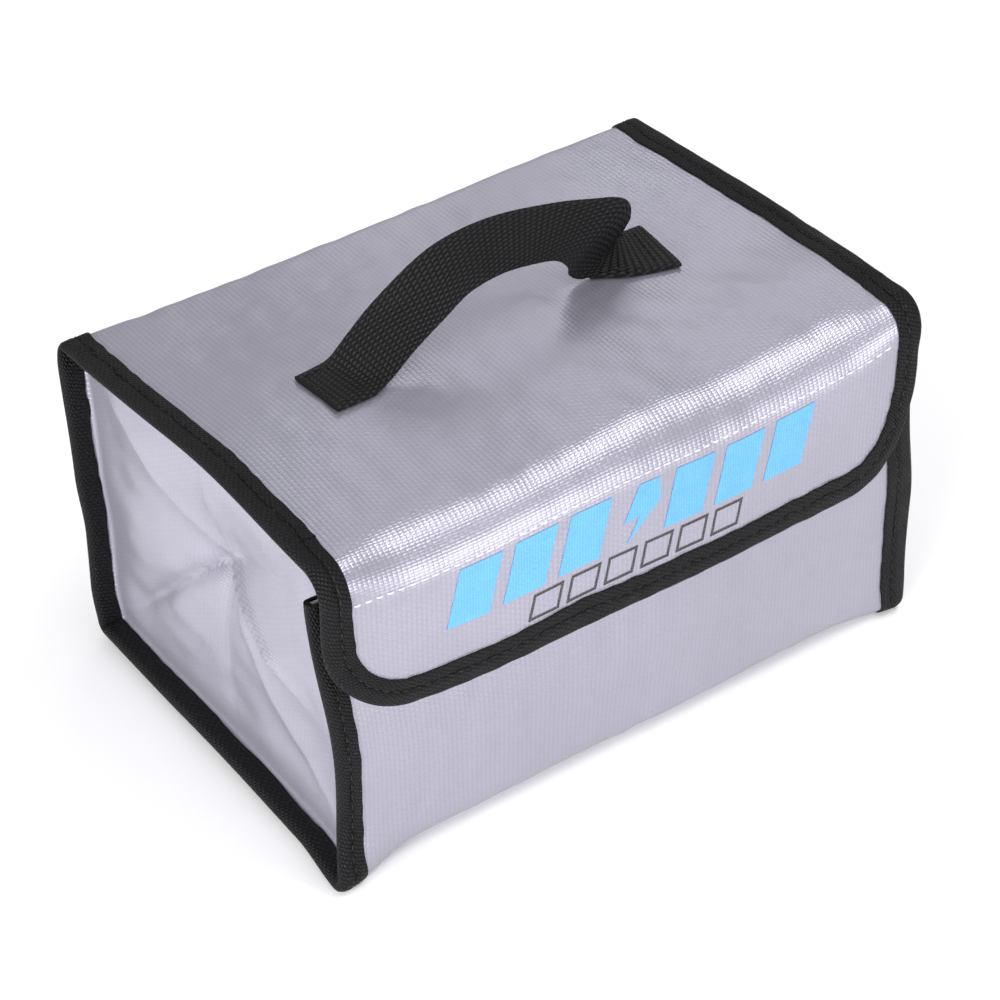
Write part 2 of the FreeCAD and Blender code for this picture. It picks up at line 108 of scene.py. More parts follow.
class SafeBagSizes(bpy.types.PropertyGroup):
    """Sizes a user would change."""
    bulge: FloatProperty(
        name="Bulge", description="How far the walls stand proud in their middles",
        default=2.6 * MM, min=0.0, max=6 * MM, unit="LENGTH")
    lid_crown: FloatProperty(
        name="Lid crown", description="How far the lid rises in its middle",
        default=1.2 * MM, min=-5 * MM, max=5 * MM, unit="LENGTH")
    slump: FloatProperty(
        name="Slump", description="How far the left back corner hangs",
        default=4.0 * MM, min=0.0, max=8 * MM, unit="LENGTH")
    skew: FloatProperty(
        name="Flap skew", description="How far the flap is drawn to the left",
        default=3.6 * MM, min=0.0, max=8 * MM, unit="LENGTH")
    ripple: FloatProperty(
        name="Ripple", description="Height of the shallow waves in the cloth",
        default=0.20 * MM, min=0.0, max=2 * MM, unit="LENGTH")
    crease: FloatProperty(
        name="Crease", description="Depth of the creases in the end panels",
        default=4.2 * MM, min=0.0, max=8 * MM, unit="LENGTH")
    stitch_pitch: FloatProperty(
        name="Stitch pitch", description="From one stitch to the next",
        default=3.6 * MM, min=1 * MM, max=8 * MM, unit="LENGTH")
    thread: FloatProperty(
        name="Thread", description="Thickness of the sewing thread",
        default=0.55 * MM, min=0.1 * MM, max=1 * MM, unit="LENGTH")


class SafeBagColours(bpy.types.PropertyGroup):
    """Colours a user would change."""
    cloth: FloatVectorProperty(
        name="Cloth", description="Coated outer cloth", subtype="COLOR",
        default=(0.315, 0.306, 0.368), size=3, min=0.0, max=1.0)
    lining: FloatVectorProperty(
        name="Lining", description="Lining cloth", subtype="COLOR",
        default=(0.46, 0.46, 0.48), size=3, min=0.0, max=1.0)
    tape: FloatVectorProperty(
        name="Tape", description="Binding tape", subtype="COLOR",
        default=(0.0030, 0.0027, 0.0031), size=3, min=0.0, max=1.0)
    webbing: FloatVectorProperty(
        name="Webbing", description="Handle webbing", subtype="COLOR",
        default=(0.0026, 0.0024, 0.0028), size=3, min=0.0, max=1.0)
    blue: FloatVectorProperty(
        name="Blue print", description="Charge bars", subtype="COLOR",
        default=(0.075, 0.320, 0.85), size=3, min=0.0, max=1.0)


# ---------------------------------------------------------------- the shape of the cloth

def ease(value):
    """0 below 0, 1 above 1, smooth between."""
    value = np.clip(value, 0.0, 1.0)
    return value * value * (3 - 2 * value)


def waves(u, v, length, seed, count=7):
    """A smooth random surface of about unit height, with waves of about this length."""
    rng = np.random.default_rng(seed)
    total = np.zeros(np.broadcast(u, v).shape)
    for _ in range(count):
        angle, phase = rng.uniform(0, 2 * math.pi, 2)
        turn = 2 * math.pi / (length * rng.uniform(0.7, 1.5))
        total = total + np.sin(turn * (u * math.cos(angle) + v * math.sin(angle)) + phase)
    return total / math.sqrt(count / 2)


def wrap_profile(bends):
    """The wrap's path in the Y-Z plane: from the front wall's top down, round and over to the flap."""
    step = 0.25 * MM
    rows, marks = [(0.0, FRONT, WALL_TOP, -math.pi / 2)], [0.0]
    front_bend, back_bend, fold_bend, lid_bend = bends

    def run(distance, radius=None):
        count = max(2, int(distance / step))
        for _ in range(count):
            length, y, z, heading = rows[-1]
            turn = distance / count / radius if radius else 0.0
            y += math.cos(heading + turn / 2) * distance / count
            z += math.sin(heading + turn / 2) * distance / count
            rows.append((length + distance / count, y, z, heading + turn))

    def mark(back=0.0):
        marks.append(rows[-1][0] - back)

    quarter = math.pi / 2
    run(WALL_TOP - FLOOR - front_bend)
    run(front_bend * quarter, front_bend)
    mark(front_bend * quarter / 2)
    run(BACK - FRONT - front_bend - back_bend)
    run(back_bend * quarter, back_bend)
    mark(back_bend * quarter / 2)
    run(TOP - WALL_SPLIT - FLOOR - back_bend)
    mark()
    run(WALL_SPLIT - fold_bend)
    run(fold_bend * quarter, fold_bend)
    mark(fold_bend * quarter / 2)
    run(BACK - fold_bend - FOLD)
    mark()
    run(FOLD - FLAP_FACE - lid_bend)
    run(lid_bend * quarter, lid_bend)
    mark(lid_bend * quarter / 2)
    run(TOP - lid_bend - FLAP_END)
    mark()
    return np.array(rows), np.array(marks)


SOFT, MARKS = wrap_profile(SOFT_BENDS)
TIGHT, TIGHT_MARKS = wrap_profile(TIGHT_BENDS)
STATION = dict(zip(("start", "front", "back", "wall", "lid", "fold", "flap", "end"), MARKS))


LEAN = 8.5 * MM              # the front wall's left top, backwards
PERK = 7.0 * MM              # the lid's right front corner, upwards
TUCK_IN = 4.4 * MM           # the same corner, inwards
PINCH = 2.2 * MM             # the left front rim, inwards at half height
TOE_OUT = (2.4 * MM, 3.4 * MM)    # the left front foot, to the left and forwards
ARCH = 2.0 * MM              # the left rim's bottom, off the floor
HIP = 1.6 * MM               # the left back rim, outwards
SWAY = 0.55 * MM             # slow waves in everything above the floor


def lean(x, y, z):
    """How far the front wall leans back at its left end."""
    share = ease((z - 15 * MM) / (WALL_TOP - 15 * MM)) ** 2 * ease(0.35 - x / HALF)
    return LEAN * share * ease((50 * MM - (y - FRONT)) / (50 * MM))


def settle(points, bag):
    """Move points of the ideal bag to where the soft bag has them."""
    x, y, z = points[..., 0], points[..., 1], points[..., 2]
    across = np.cos(np.clip(x / HALF, -1, 1) * math.pi / 2)
    up = np.clip((z - FLOOR) / (TOP - FLOOR), 0, 1)
    deep = np.clip((y - FRONT) / (BACK - FRONT), 0, 1)
    belly = np.sin(up * math.pi) ** 0.8 * across ** 0.7
    left, right = ease(0.5 - x / HALF / 2), ease(0.5 + x / HALF / 2)
    moved = points.copy()
    moved[..., 1] += bag.bulge * belly * (ease(deep * 2 - 1) - 1.15 * ease(1 - deep * 2))
    crown = np.sin(deep * math.pi) * across
    moved[..., 2] += bag.lid_crown * crown * ease(up * 4 - 3)
    moved[..., 2] -= bag.slump * left * ease(deep * 1.6 - 0.6) * ease(up * 1.5 - 0.5)
    moved[..., 2] += 0.5 * bag.slump * left * ease(deep * 2.5 - 1.5) * ease(1 - up * 2.5)
    moved[..., 1] -= 0.4 * bag.slump * left * ease(deep * 2 - 1) * ease(1 - up * 2)
    # the lid's right front corner stands up and in, and the left end's foot is pulled out
    front = ease(-(y + 6 * MM) / (46 * MM))
    perk = ease((x - 25 * MM) / (80 * MM)) * ease((z - 55 * MM) / (55 * MM))
    moved[..., 2] += PERK * perk * front
    tuck = ease((x - 55 * MM) / (50 * MM)) * ease((z - 45 * MM) / (40 * MM))
    moved[..., 0] -= TUCK_IN * tuck * front
    pinch = ease((-x - 84 * MM) / (22 * MM)) * np.sin(np.clip(z / (96 * MM), 0, 1) * math.pi)
    moved[..., 0] += PINCH * pinch * ease((-y - 50 * MM) / (18 * MM))
    foot = ease((-x - 82 * MM) / (24 * MM)) * ease((26 * MM - z) / (26 * MM))
    toe = foot * ease((-y - 46 * MM) / (22 * MM))
    moved[..., 0] -= TOE_OUT[0] * toe
    moved[..., 1] -= TOE_OUT[1] * toe
    moved[..., 2] += ARCH * foot * np.sin(deep * math.pi) ** 2
    hip = ease((-x - 80 * MM) / (26 * MM)) * ease((z - 40 * MM) / (25 * MM))
    hip = hip * ease((y - 35 * MM) / (35 * MM))
    moved[..., 0] -= HIP * hip * ease((TOP + 4 * MM - z) / (12 * MM))
    sway = SWAY * ease(up * 6)
    moved[..., 0] += sway * waves(y, z, 70 * MM, 11) * (left + right)
    moved[..., 1] += sway * waves(x, z, 90 * MM, 12)
    moved[..., 2] += sway * waves(x, y, 85 * MM, 13) * ease(up * 3 - 1)
    moved[..., 2] = np.maximum(moved[..., 2], 0.15 * MM)
    return moved


def surface(u, v, bag):
    """The wrap's outer face: u is along X and v is along the wrap's path."""
    u, v = np.broadcast_arrays(np.asarray(u, float), np.asarray(v, float))
    tight = ease((np.abs(u) - 78 * MM) / (24 * MM))
    y, z, heading = (np.interp(v, SOFT[:, 0], SOFT[:, k]) for k in (1, 2, 3))
    tight_v = np.interp(v, MARKS, TIGHT_MARKS)
    tight_v = tight_v + np.minimum(v - MARKS[0], 0) + np.maximum(v - MARKS[-1], 0)
    tight_y, tight_z, tight_heading = (np.interp(tight_v, TIGHT[:, 0], TIGHT[:, k]) for k in (1, 2, 3))
    y, z = y + tight * (tight_y - y), z + tight * (tight_z - z)
    z = z - np.maximum(v - MARKS[-1], 0) - np.minimum(v, 0)
    corner = 0.4 + 0.6 * ease((-u - 50 * MM) / (40 * MM))
    z = z + 2.4 * MM * corner * ease((v - STATION["flap"] - 8 * MM) / (40 * MM))
    heading = heading + tight * (tight_heading - heading)
    hang = ease((v - STATION["lid"] - 60 * MM) / (STATION["end"] - STATION["lid"] - 60 * MM))
    x = u - bag.skew * hang
    y = y + np.where(v < STATION["front"] + 60 * MM, lean(u, y, z), 0.0)
    inside = ease((CLOTH_HALF - np.abs(u) - 7 * MM) / (24 * MM))
    lift = bag.ripple * inside * (
        0.8 * waves(u, v, 62 * MM, 21) + 0.40 * waves(u * 1.6, v, 24 * MM, 22)
        + 0.16 * waves(u, v * 1.4, 11 * MM, 23))
    lift = lift * (1 - 0.55 * ease((v - STATION["fold"]) / (20 * MM)))
    normal_y, normal_z = np.sin(heading), -np.cos(heading)
    points = np.stack([x, y + normal_y * lift, z + normal_z * lift], axis=-1)
    return settle(points, bag)


def normals(u, v, bag):
    """Unit outward normals of the wrap's outer face."""
    small = 0.4 * MM
    along_u = surface(u + small, v, bag) - surface(u - small, v, bag)
    along_v = surface(u, v + small, bag) - surface(u, v - small, bag)
    normal = np.cross(along_v, along_u)
    return normal / np.linalg.norm(normal, axis=-1, keepdims=True)


def on_wrap(u, v, height, bag):
    """Points at a height above the wrap's outer face."""
    u, v = np.broadcast_arrays(np.asarray(u, float), np.asarray(v, float))
    return surface(u, v, bag) + normals(u, v, bag) * np.asarray(height)[..., None]


def flap_half(v, inset):
    """Half the flap's width where its edge, moved in by inset, has its rounded corner."""
    left = STATION["end"] - inset - v
    radius = FLAP_CORNER - inset
    drop = np.clip(radius - left, 0, radius)
    return HALF - inset - radius + np.sqrt(np.maximum(radius ** 2 - drop ** 2, 0))


# ---------------------------------------------------------------- mesh helpers

def deselect():
    bpy.ops.object.select_all(action="DESELECT")


def choose(piece):
    """Make this the one piece selected and active."""
    deselect()
    piece.select_set(True)
    bpy.context.view_layer.objects.active = piece


def grid(name, columns, rows, place):
    """A grid whose points are placed by place(a, b), a and b from 0 to 1, returning points and UV."""
    deselect()
    bpy.ops.mesh.primitive_grid_add(x_subdivisions=columns, y_subdivisions=rows, size=1, calc_uvs=True)
    piece = bpy.context.object
    piece.name = piece.data.name = name
    count = len(piece.data.vertices)
    flat = np.zeros(count * 3)
    piece.data.vertices.foreach_get("co", flat)
    flat = flat.reshape(-1, 3) + 0.5
    a, b = np.clip(flat[:, 0], 0, 1), np.clip(flat[:, 1], 0, 1)
    points, uv = place(a, b)
    piece.data.vertices.foreach_set("co", points.astype(np.float32).ravel())
    corners = np.zeros(len(piece.data.loops), np.int32)
    piece.data.loops.foreach_get("vertex_index", corners)
    piece.data.uv_layers.active.data.foreach_set("uv", uv[corners].astype(np.float32).ravel())
    piece.data.update()
    return piece


def edit_mesh(piece, change):
    """Change a piece's mesh with bmesh operations."""
    mesh = bmesh.new()
    mesh.from_mesh(piece.data)
    change(mesh)
    mesh.to_mesh(piece.data)
    mesh.free()


def weld(mesh):
    bmesh.ops.remove_doubles(mesh, verts=mesh.verts, dist=0.01 * MM)


def close_ends(mesh):
    bmesh.ops.holes_fill(mesh, edges=[edge for edge in mesh.edges if edge.is_boundary], sides=0)


def edit_all(piece, operation, **settings):
    """Run an edit mode operation on all of a piece."""
    choose(piece)
    bpy.ops.object.mode_set(mode="EDIT")
    bpy.ops.mesh.select_all(action="SELECT")
    operation(**settings)
    bpy.ops.object.mode_set(mode="OBJECT")


def close_tube(piece):
    """Join a rolled grid's long edges, close its ends and turn its faces out."""
    edit_mesh(piece, weld)
    edit_mesh(piece, close_ends)
    edit_all(piece, bpy.ops.mesh.normals_make_consistent, inside=False)


def flip(piece):
    edit_all(piece, bpy.ops.mesh.flip_normals)


def apply_modifier(piece, kind, **settings):
    modifier = piece.modifiers.new(kind.title(), kind)
    for name, value in settings.items():
        setattr(modifier, name, value)
    choose(piece)
    bpy.ops.object.modifier_apply(modifier=modifier.name)


def thicken(piece, thickness):
    """Give a sheet its thickness, inwards from its outer face."""
    apply_modifier(piece, "SOLIDIFY", thickness=thickness, offset=-1, use_even_offset=False)


def finish_piece(piece, material, nodes):
    """Smooth the piece, dress it, and hide the CAD nodes it stands for."""
    choose(piece)
    bpy.ops.object.shade_smooth_by_angle(angle=math.radians(52))
    piece.data.materials.clear()
    piece.data.materials.append(material)
    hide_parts(*nodes)


def path_length(points):
    """How far along a path each of its points is."""
    return np.concatenate([[0], np.cumsum(np.linalg.norm(np.diff(points, axis=0), axis=1))])


def tape_section(leg, tuck, stack, groove):
    """The folded tape's outline, as (distance in from the rim, height above the cloth's outer face)."""
    t = TAPE
    puff = 0.30 * MM
    dip = 0.25 * MM
    middle = -stack / 2
    radius = stack / 2 + t
    outer = [(leg, 0.0), (leg, t * 0.75), (leg - 0.6 * MM, t), (groove + 1.1 * MM, t + puff * 0.6),
             (groove + 0.45 * MM, t + puff * 0.3), (groove, t - dip), (groove - 0.45 * MM, t + puff * 0.3),
             (groove - 1.6 * MM, t + puff), (radius, t + puff * 0.5)]
    arc = [(radius - radius * math.sin(a), middle + radius * math.cos(a))
           for a in np.linspace(0.35, math.pi - 0.35, 7)]
    under = -stack - t
    inner = [(radius, under), (min(groove, tuck - 1.0 * MM), under - puff * 0.5), (tuck - 0.6 * MM, under),
             (tuck, under + t * 0.25), (tuck, -stack)]
    hollow = [(radius, -stack + 0.02 * MM), (radius, -0.02 * MM)]
    return np.array(outer + arc + inner + hollow)


def sweep(name, rows, section, put, wobble, seed):
    """Sweep a tape section: put(i, q, h) is the point of row i, q in from the rim and h above the cloth."""
    section = np.broadcast_to(section, (rows,) + np.asarray(section).shape[-2:])
    ring = section.shape[1]
    everywhere = np.arange(rows)
    run = path_length(put(everywhere, np.full(rows, 3 * MM), np.zeros(rows)))
    drift = wobble * waves(run, run * 0, 30 * MM, seed)
    drift = drift + 0.4 * wobble * waves(run, run * 0, 7 * MM, seed + 1)
    outline = np.diff(section[0], axis=0, append=section[0][:1])
    lengths = np.concatenate([[0], np.cumsum(np.linalg.norm(outline, axis=1))])

    def place(a, b):
        i = np.clip(np.rint(b * (rows - 1)).astype(int), 0, rows - 1)
        raw = np.rint(a * ring).astype(int)
        k = raw % ring
        q, h = section[i, k, 0], section[i, k, 1]
        swing = np.where(q > 3.2 * MM, drift[i], 0.0)
        rise = 0.35 * wobble * waves(run[i] + q, q * 3, 11 * MM, seed + 2) * (h > 0.3 * MM)
        return put(i, q + swing, h + rise), np.stack([run[i], lengths[raw]], axis=1)

    piece = grid(name, ring, rows - 1, place)
    close_tube(piece)
    return piece


def resample(path, normal, pitch):
    """Points at an even pitch along a path, with its normals."""
    run = path_length(path)
    at = np.arange(pitch / 2, run[-1] - pitch / 2, pitch)
    return [np.stack([np.interp(at, run, field[:, k]) for k in range(3)], axis=1)
            for field in (path, normal)]


STITCH_SHARE = 0.72          # how much of the pitch a stitch takes up
STITCH_SINK = 0.12           # how far it sits in the cloth, in thread thicknesses


def stitches(name, rows, bag):
    """Sewing along rows of (path, normal): one stitch is modelled, and copied along each path."""
    deselect()
    bpy.ops.mesh.primitive_uv_sphere_add(segments=6, ring_count=4, radius=0.5)
    pattern = bpy.context.object
    flat = np.zeros(len(pattern.data.vertices) * 3)
    pattern.data.vertices.foreach_get("co", flat)
    shape = flat.reshape(-1, 3)
    faces = [tuple(p.vertices) for p in pattern.data.polygons]
    bpy.data.objects.remove(pattern)
    points, polygons = [], []
    rng = np.random.default_rng(len(name))
    for path, normal in rows:
        at, up = resample(path, normal, bag.stitch_pitch)
        along = np.gradient(at, axis=0)
        along /= np.linalg.norm(along, axis=1, keepdims=True)
        side = np.cross(up, along)
        side /= np.linalg.norm(side, axis=1, keepdims=True)
        for p, t, s, n in zip(at, along, side, up):
            turn = rng.uniform(-0.06, 0.06)
            heading = t * math.cos(turn) + s * math.sin(turn)
            across = s * math.cos(turn) - t * math.sin(turn)
            # the ends of a stitch dive into the cloth
            arch = (0.5 - 2.2 * shape[:, 0] ** 2) * bag.thread
            body = (heading * shape[:, :1] * bag.stitch_pitch * STITCH_SHARE
                    + across * shape[:, 1:2] * bag.thread
                    + n * (shape[:, 2:] * bag.thread * 0.8 + arch[:, None] - STITCH_SINK * bag.thread))
            base = len(points) * len(shape)
            points.append(p + body)
            polygons += [tuple(base + i for i in face) for face in faces]
    mesh = bpy.data.meshes.new(name)
    mesh.from_pydata(np.concatenate(points).tolist(), [], polygons)
    mesh.uv_layers.new(name="UVMap")
    piece = bpy.data.objects.new(name, mesh)
    bpy.context.collection.objects.link(piece)
    return piece


# ---------------------------------------------------------------- shader groups

def group_tree(name, inputs, outputs):
    """A new shader node group: inputs and outputs are (name, kind, default)."""
    tree = bpy.data.node_groups.new(name, "ShaderNodeTree")
    kinds = {"number": "NodeSocketFloat", "colour": "NodeSocketColor", "vector": "NodeSocketVector"}
    for label, kind, default in inputs:
        socket = tree.interface.new_socket(label, in_out="INPUT", socket_type=kinds[kind])
        if default is not None:
            socket.default_value = default
    for label, kind in outputs:
        tree.interface.new_socket(label, in_out="OUTPUT", socket_type=kinds[kind])
    return tree, tree.nodes.new("NodeGroupInput"), tree.nodes.new("NodeGroupOutput")


def feed(tree, socket, value):
    """Give a socket its value: another socket, a number or a colour."""
    if isinstance(value, bpy.types.NodeSocket):
        tree.links.new(value, socket)
    elif isinstance(value, (int, float)):
        socket.default_value = value
    else:
        socket.default_value = (*value[:3], 1.0)


def maths(tree, operation, *values):
    """A Math node; values are numbers or sockets."""
    node = tree.nodes.new("ShaderNodeMath")
    node.operation = operation
    for socket, value in zip(node.inputs, values):
        feed(tree, socket, value)
    return node.outputs[0]


def times(tree, first, second):
    return maths(tree, "MULTIPLY", first, second)


def plus(tree, first, second):
    return maths(tree, "ADD", first, second)


def threads_side_by_side(tree, across):
    """Round threads, one to each unit of across."""
    return maths(tree, "ABSOLUTE", maths(tree, "SINE", times(tree, across, math.pi)))


def noise(tree, vector, scale, detail=2.0, rough=0.5):
    node = tree.nodes.new("ShaderNodeTexNoise")
    tree.links.new(vector, node.inputs["Vector"])
    feed(tree, node.inputs["Scale"], scale)
    node.inputs["Detail"].default_value = detail
    node.inputs["Roughness"].default_value = rough
    return node.outputs["Fac"]


def mixed(tree, factor, first, second):
    """Mix two colours; each is a socket or a colour."""
    node = tree.nodes.new("ShaderNodeMix")
    node.data_type = "RGBA"
    for label, value in (("Factor", factor), ("A", first), ("B", second)):
        feed(tree, node.inputs[label], value)
    return node.outputs["Result"]


def pressed_thread(tree, own, other):
    """A thread's height where the threads across it press on it."""
    return times(tree, maths(tree, "POWER", own, 0.6), plus(tree, 0.55, times(tree, other, 0.45)))


def weave_group():
    """Plain weave: threads along U and V, with their crowns and the gaps between them."""
    tree, source, sink = group_tree(
        "Weave",
        [("Vector", "vector", None), ("Warp per metre", "number", 1000.0),
         ("Weft per metre", "number", 1000.0)],
        [("Height", "number"), ("Gaps", "number")])
    split = tree.nodes.new("ShaderNodeSeparateXYZ")
    tree.links.new(source.outputs["Vector"], split.inputs[0])
    u = times(tree, split.outputs[0], source.outputs["Warp per metre"])
    v = times(tree, split.outputs[1], source.outputs["Weft per metre"])
    round_u, round_v = threads_side_by_side(tree, u), threads_side_by_side(tree, v)
    turn = times(tree, plus(tree, maths(tree, "FLOOR", u), maths(tree, "FLOOR", v)), 0.5)
    over = maths(tree, "GREATER_THAN", maths(tree, "FRACT", turn), 0.25)
    warp, weft = pressed_thread(tree, round_u, round_v), pressed_thread(tree, round_v, round_u)
    pick = plus(tree, times(tree, warp, over), times(tree, weft, maths(tree, "SUBTRACT", 1.0, over)))
    tree.links.new(pick, sink.inputs["Height"])
    gaps = maths(tree, "SUBTRACT", 1.0, maths(tree, "MINIMUM", times(tree, pick, 1.4), 1.0))
    tree.links.new(gaps, sink.inputs["Gaps"])
    return tree


def rib_group():
    """Fine ribs across a tape, broken up by its threads."""
    tree, source, sink = group_tree(
        "Ribs",
        [("Vector", "vector", None), ("Ribs per metre", "number", 1100.0),
         ("Threads per metre", "number", 2200.0), ("Slant", "number", 0.0), ("Bead", "number", 0.4)],
        [("Height", "number"), ("Gaps", "number")])
    split = tree.nodes.new("ShaderNodeSeparateXYZ")
    tree.links.new(source.outputs["Vector"], split.inputs[0])
    leaning = plus(tree, split.outputs[0], times(tree, split.outputs[1], source.outputs["Slant"]))
    ribs = times(tree, leaning, source.outputs["Ribs per metre"])
    threads = times(tree, split.outputs[1], source.outputs["Threads per metre"])
    shifted = plus(tree, threads, times(tree, maths(tree, "FLOOR", ribs), 0.5))
    gap = maths(tree, "SUBTRACT", 1.0, threads_side_by_side(tree, shifted))
    dent = times(tree, gap, source.outputs["Bead"])
    height = times(tree, maths(tree, "POWER", threads_side_by_side(tree, ribs), 0.7),
                   maths(tree, "SUBTRACT", 1.0, dent))
    tree.links.new(height, sink.inputs["Height"])
    tree.links.new(maths(tree, "SUBTRACT", 1.0, height), sink.inputs["Gaps"])
    return tree


def mottle_group():
    """Soft, uneven variation of a colour."""
    tree, source, sink = group_tree(
        "Mottle",
        [("Vector", "vector", None), ("Colour", "colour", (0.5, 0.5, 0.5, 1.0)),
         ("Scale", "number", 30.0), ("Amount", "number", 0.1)],
        [("Colour", "colour"), ("Mask", "number")])
    clouds = noise(tree, source.outputs["Vector"], source.outputs["Scale"], 4.0, 0.6)
    signed = times(tree, maths(tree, "SUBTRACT", clouds, 0.5), source.outputs["Amount"])
    level = plus(tree, 1.0, times(tree, signed, 2.0))
    scaled = tree.nodes.new("ShaderNodeVectorMath")
    scaled.operation = "SCALE"
    tree.links.new(source.outputs["Colour"], scaled.inputs[0])
    tree.links.new(level, scaled.inputs["Scale"])
    tree.links.new(scaled.outputs[0], sink.inputs["Colour"])
    tree.links.new(clouds, sink.inputs["Mask"])
    return tree


GROUP_MAKERS = {"Weave": weave_group, "Ribs": rib_group, "Mottle": mottle_group}


def use_group(tree, name, vector, **values):
    """Place a shared group in a material, building it the first time."""
    shared = bpy.data.node_groups.get(name) or GROUP_MAKERS[name]()
    node = tree.nodes.new("ShaderNodeGroup")
    node.node_tree = shared
    tree.links.new(vector, node.inputs["Vector"])
    for label, value in values.items():
        feed(tree, node.inputs[label.replace("_", " ")], value)
    return node


def new_material(name, roughness, sheen=0.0, metallic=0.0, specular=0.5):
    material = bpy.data.materials.new(name)
    material.use_nodes = True
    tree = material.node_tree
    shader = tree.nodes["Principled BSDF"]
    shader.inputs["Roughness"].default_value = roughness
    shader.inputs["Metallic"].default_value = metallic
    shader.inputs["Sheen Weight"].default_value = sheen
    shader.inputs["Sheen Roughness"].default_value = 0.45
    shader.inputs["Specular IOR Level"].default_value = specular
    place = tree.nodes.new("ShaderNodeTexCoord")
    return material, tree, shader, place


def bump(tree, shader, height, distance, strength=1.0, below=None):
    node = tree.nodes.new("ShaderNodeBump")
    node.inputs["Strength"].default_value = strength
    node.inputs["Distance"].default_value = distance
    tree.links.new(height, node.inputs["Height"])
    if below is not None:
        tree.links.new(below, node.inputs["Normal"])
    tree.links.new(node.outputs["Normal"], shader.inputs["Normal"])
    return node.outputs["Normal"]


def paint(tree, shader, colour):
    tree.links.new(colour, shader.inputs["Base Color"])


def made_once(make):
    """Hand out the same material again instead of making it twice."""
    names = {}

    def give(*settings):
        key = settings[0] if settings and isinstance(settings[0], str) else make.__name__
        material = bpy.data.materials.get(names.get(key, ""))
        if material is None:
            material = make(*settings)
            names[key] = material.name
        return material

    return give


def patterned(tree, place, pattern, colour, scale, amount, **pitches):
    """The outputs of a woven pattern that follows the UVs, and of a mottled colour."""
    woven = use_group(tree, pattern, place.outputs["UV"], **pitches)
    mottle = use_group(tree, "Mottle", place.outputs["Object"], Colour=colour, Scale=scale, Amount=amount)
    return woven.outputs, mottle.outputs


def shade(colour, factor):
    return [channel * factor for channel in colour]


@made_once
def coated_cloth(colours):
    """Grey-lilac satin cloth: a fine weave under a thin coating."""
    material, tree, shader, place = new_material("Coated cloth", 0.32, metallic=0.52)
    weave, mottle = patterned(tree, place, "Weave", colours.cloth, 42.0, 0.06,
                              Warp_per_metre=620.0, Weft_per_metre=1050.0)
    paint(tree, shader, mixed(tree, times(tree, weave["Gaps"], 0.30), mottle["Colour"],
                              shade(colours.cloth, 0.5)))
    rough = plus(tree, 0.28, times(tree, mottle["Mask"], 0.08))
    tree.links.new(rough, shader.inputs["Roughness"])
    slack = noise(tree, place.outputs["Object"], 45.0, 1.0, 0.4)
    below = bump(tree, shader, slack, 0.25 * MM, 0.3)
    bump(tree, shader, weave["Height"], 0.11 * MM, 0.7, below)
    return material


@made_once
def lining_cloth(colours):
    """Plain woven lining, without the coating."""
    material, tree, shader, place = new_material("Lining cloth", 0.8, sheen=0.2)
    weave, mottle = patterned(tree, place, "Weave", colours.lining, 35.0, 0.1,
                              Warp_per_metre=800.0, Weft_per_metre=800.0)
    paint(tree, shader, mixed(tree, times(tree, weave["Gaps"], 0.5), mottle["Colour"],
                              shade(colours.lining, 0.4)))
    bump(tree, shader, weave["Height"], 0.2 * MM, 0.8)
    return material


@made_once
def binding_tape(colours):
    """Black ribbed tape with a few pale fibres, and a painted highlight on its rib crowns."""
    material, tree, shader, place = new_material("Binding tape", 0.5, specular=0.12)
    ribs, mottle = patterned(tree, place, "Ribs", colours.tape, 60.0, 0.35,
                             Ribs_per_metre=780.0, Threads_per_metre=900.0, Slant=0.5, Bead=0.75)
    # painted highlight: the rib crowns are painted up to four times lighter, standing in for glints on the ribs
    lit = mixed(tree, maths(tree, "POWER", ribs["Height"], 2.0), mottle["Colour"],
                shade(colours.tape, 4.0))
    fluff = maths(tree, "GREATER_THAN", noise(tree, place.outputs["Object"], 1500.0, 2.0, 0.7), 0.72)
    paint(tree, shader, mixed(tree, times(tree, fluff, 0.25), lit, (0.25, 0.25, 0.26)))
    bump(tree, shader, ribs["Height"], 0.42 * MM)
    return material


@made_once
def handle_webbing(colours):
    """Black webbing: a coarse weave with a painted highlight on its crowns."""
    material, tree, shader, place = new_material("Handle webbing", 0.58, specular=0.2)
    ribs, mottle = patterned(tree, place, "Ribs", colours.webbing, 70.0, 0.3,
                             Ribs_per_metre=520.0, Threads_per_metre=560.0, Slant=0.0, Bead=0.95)
    # painted highlight: the weave crowns are painted up to nine times lighter, standing in for glints
    crowns = maths(tree, "POWER", ribs["Height"], 4.0)
    paint(tree, shader, mixed(tree, times(tree, crowns, 0.8), mottle["Colour"],
                              shade(colours.webbing, 9.0)))
    bump(tree, shader, ribs["Height"], 0.7 * MM)
    return material


@made_once
def thread_material(name, colour):
    """Twisted sewing thread."""
    material, tree, shader, place = new_material(name, 0.6, specular=0.3)
    fibres = noise(tree, place.outputs["Object"], 2600.0, 2.0, 0.6)
    paint(tree, shader, mixed(tree, fibres, shade(colour, 0.7), colour))
    bump(tree, shader, fibres, 0.08 * MM, 0.6)
    return material


@made_once
def hook_material():
    """Nylon hooks: rows of small stiff crowns."""
    material, tree, shader, place = new_material("Hook tape", 0.5)
    weave = use_group(tree, "Weave", place.outputs["UV"], Warp_per_metre=650.0, Weft_per_metre=800.0)
    crowns = maths(tree, "POWER", weave.outputs["Height"], 2.0)
    paint(tree, shader, mixed(tree, crowns, (0.006, 0.006, 0.007), (0.05, 0.05, 0.055)))
    bump(tree, shader, weave.outputs["Height"], 0.8 * MM)
    return material


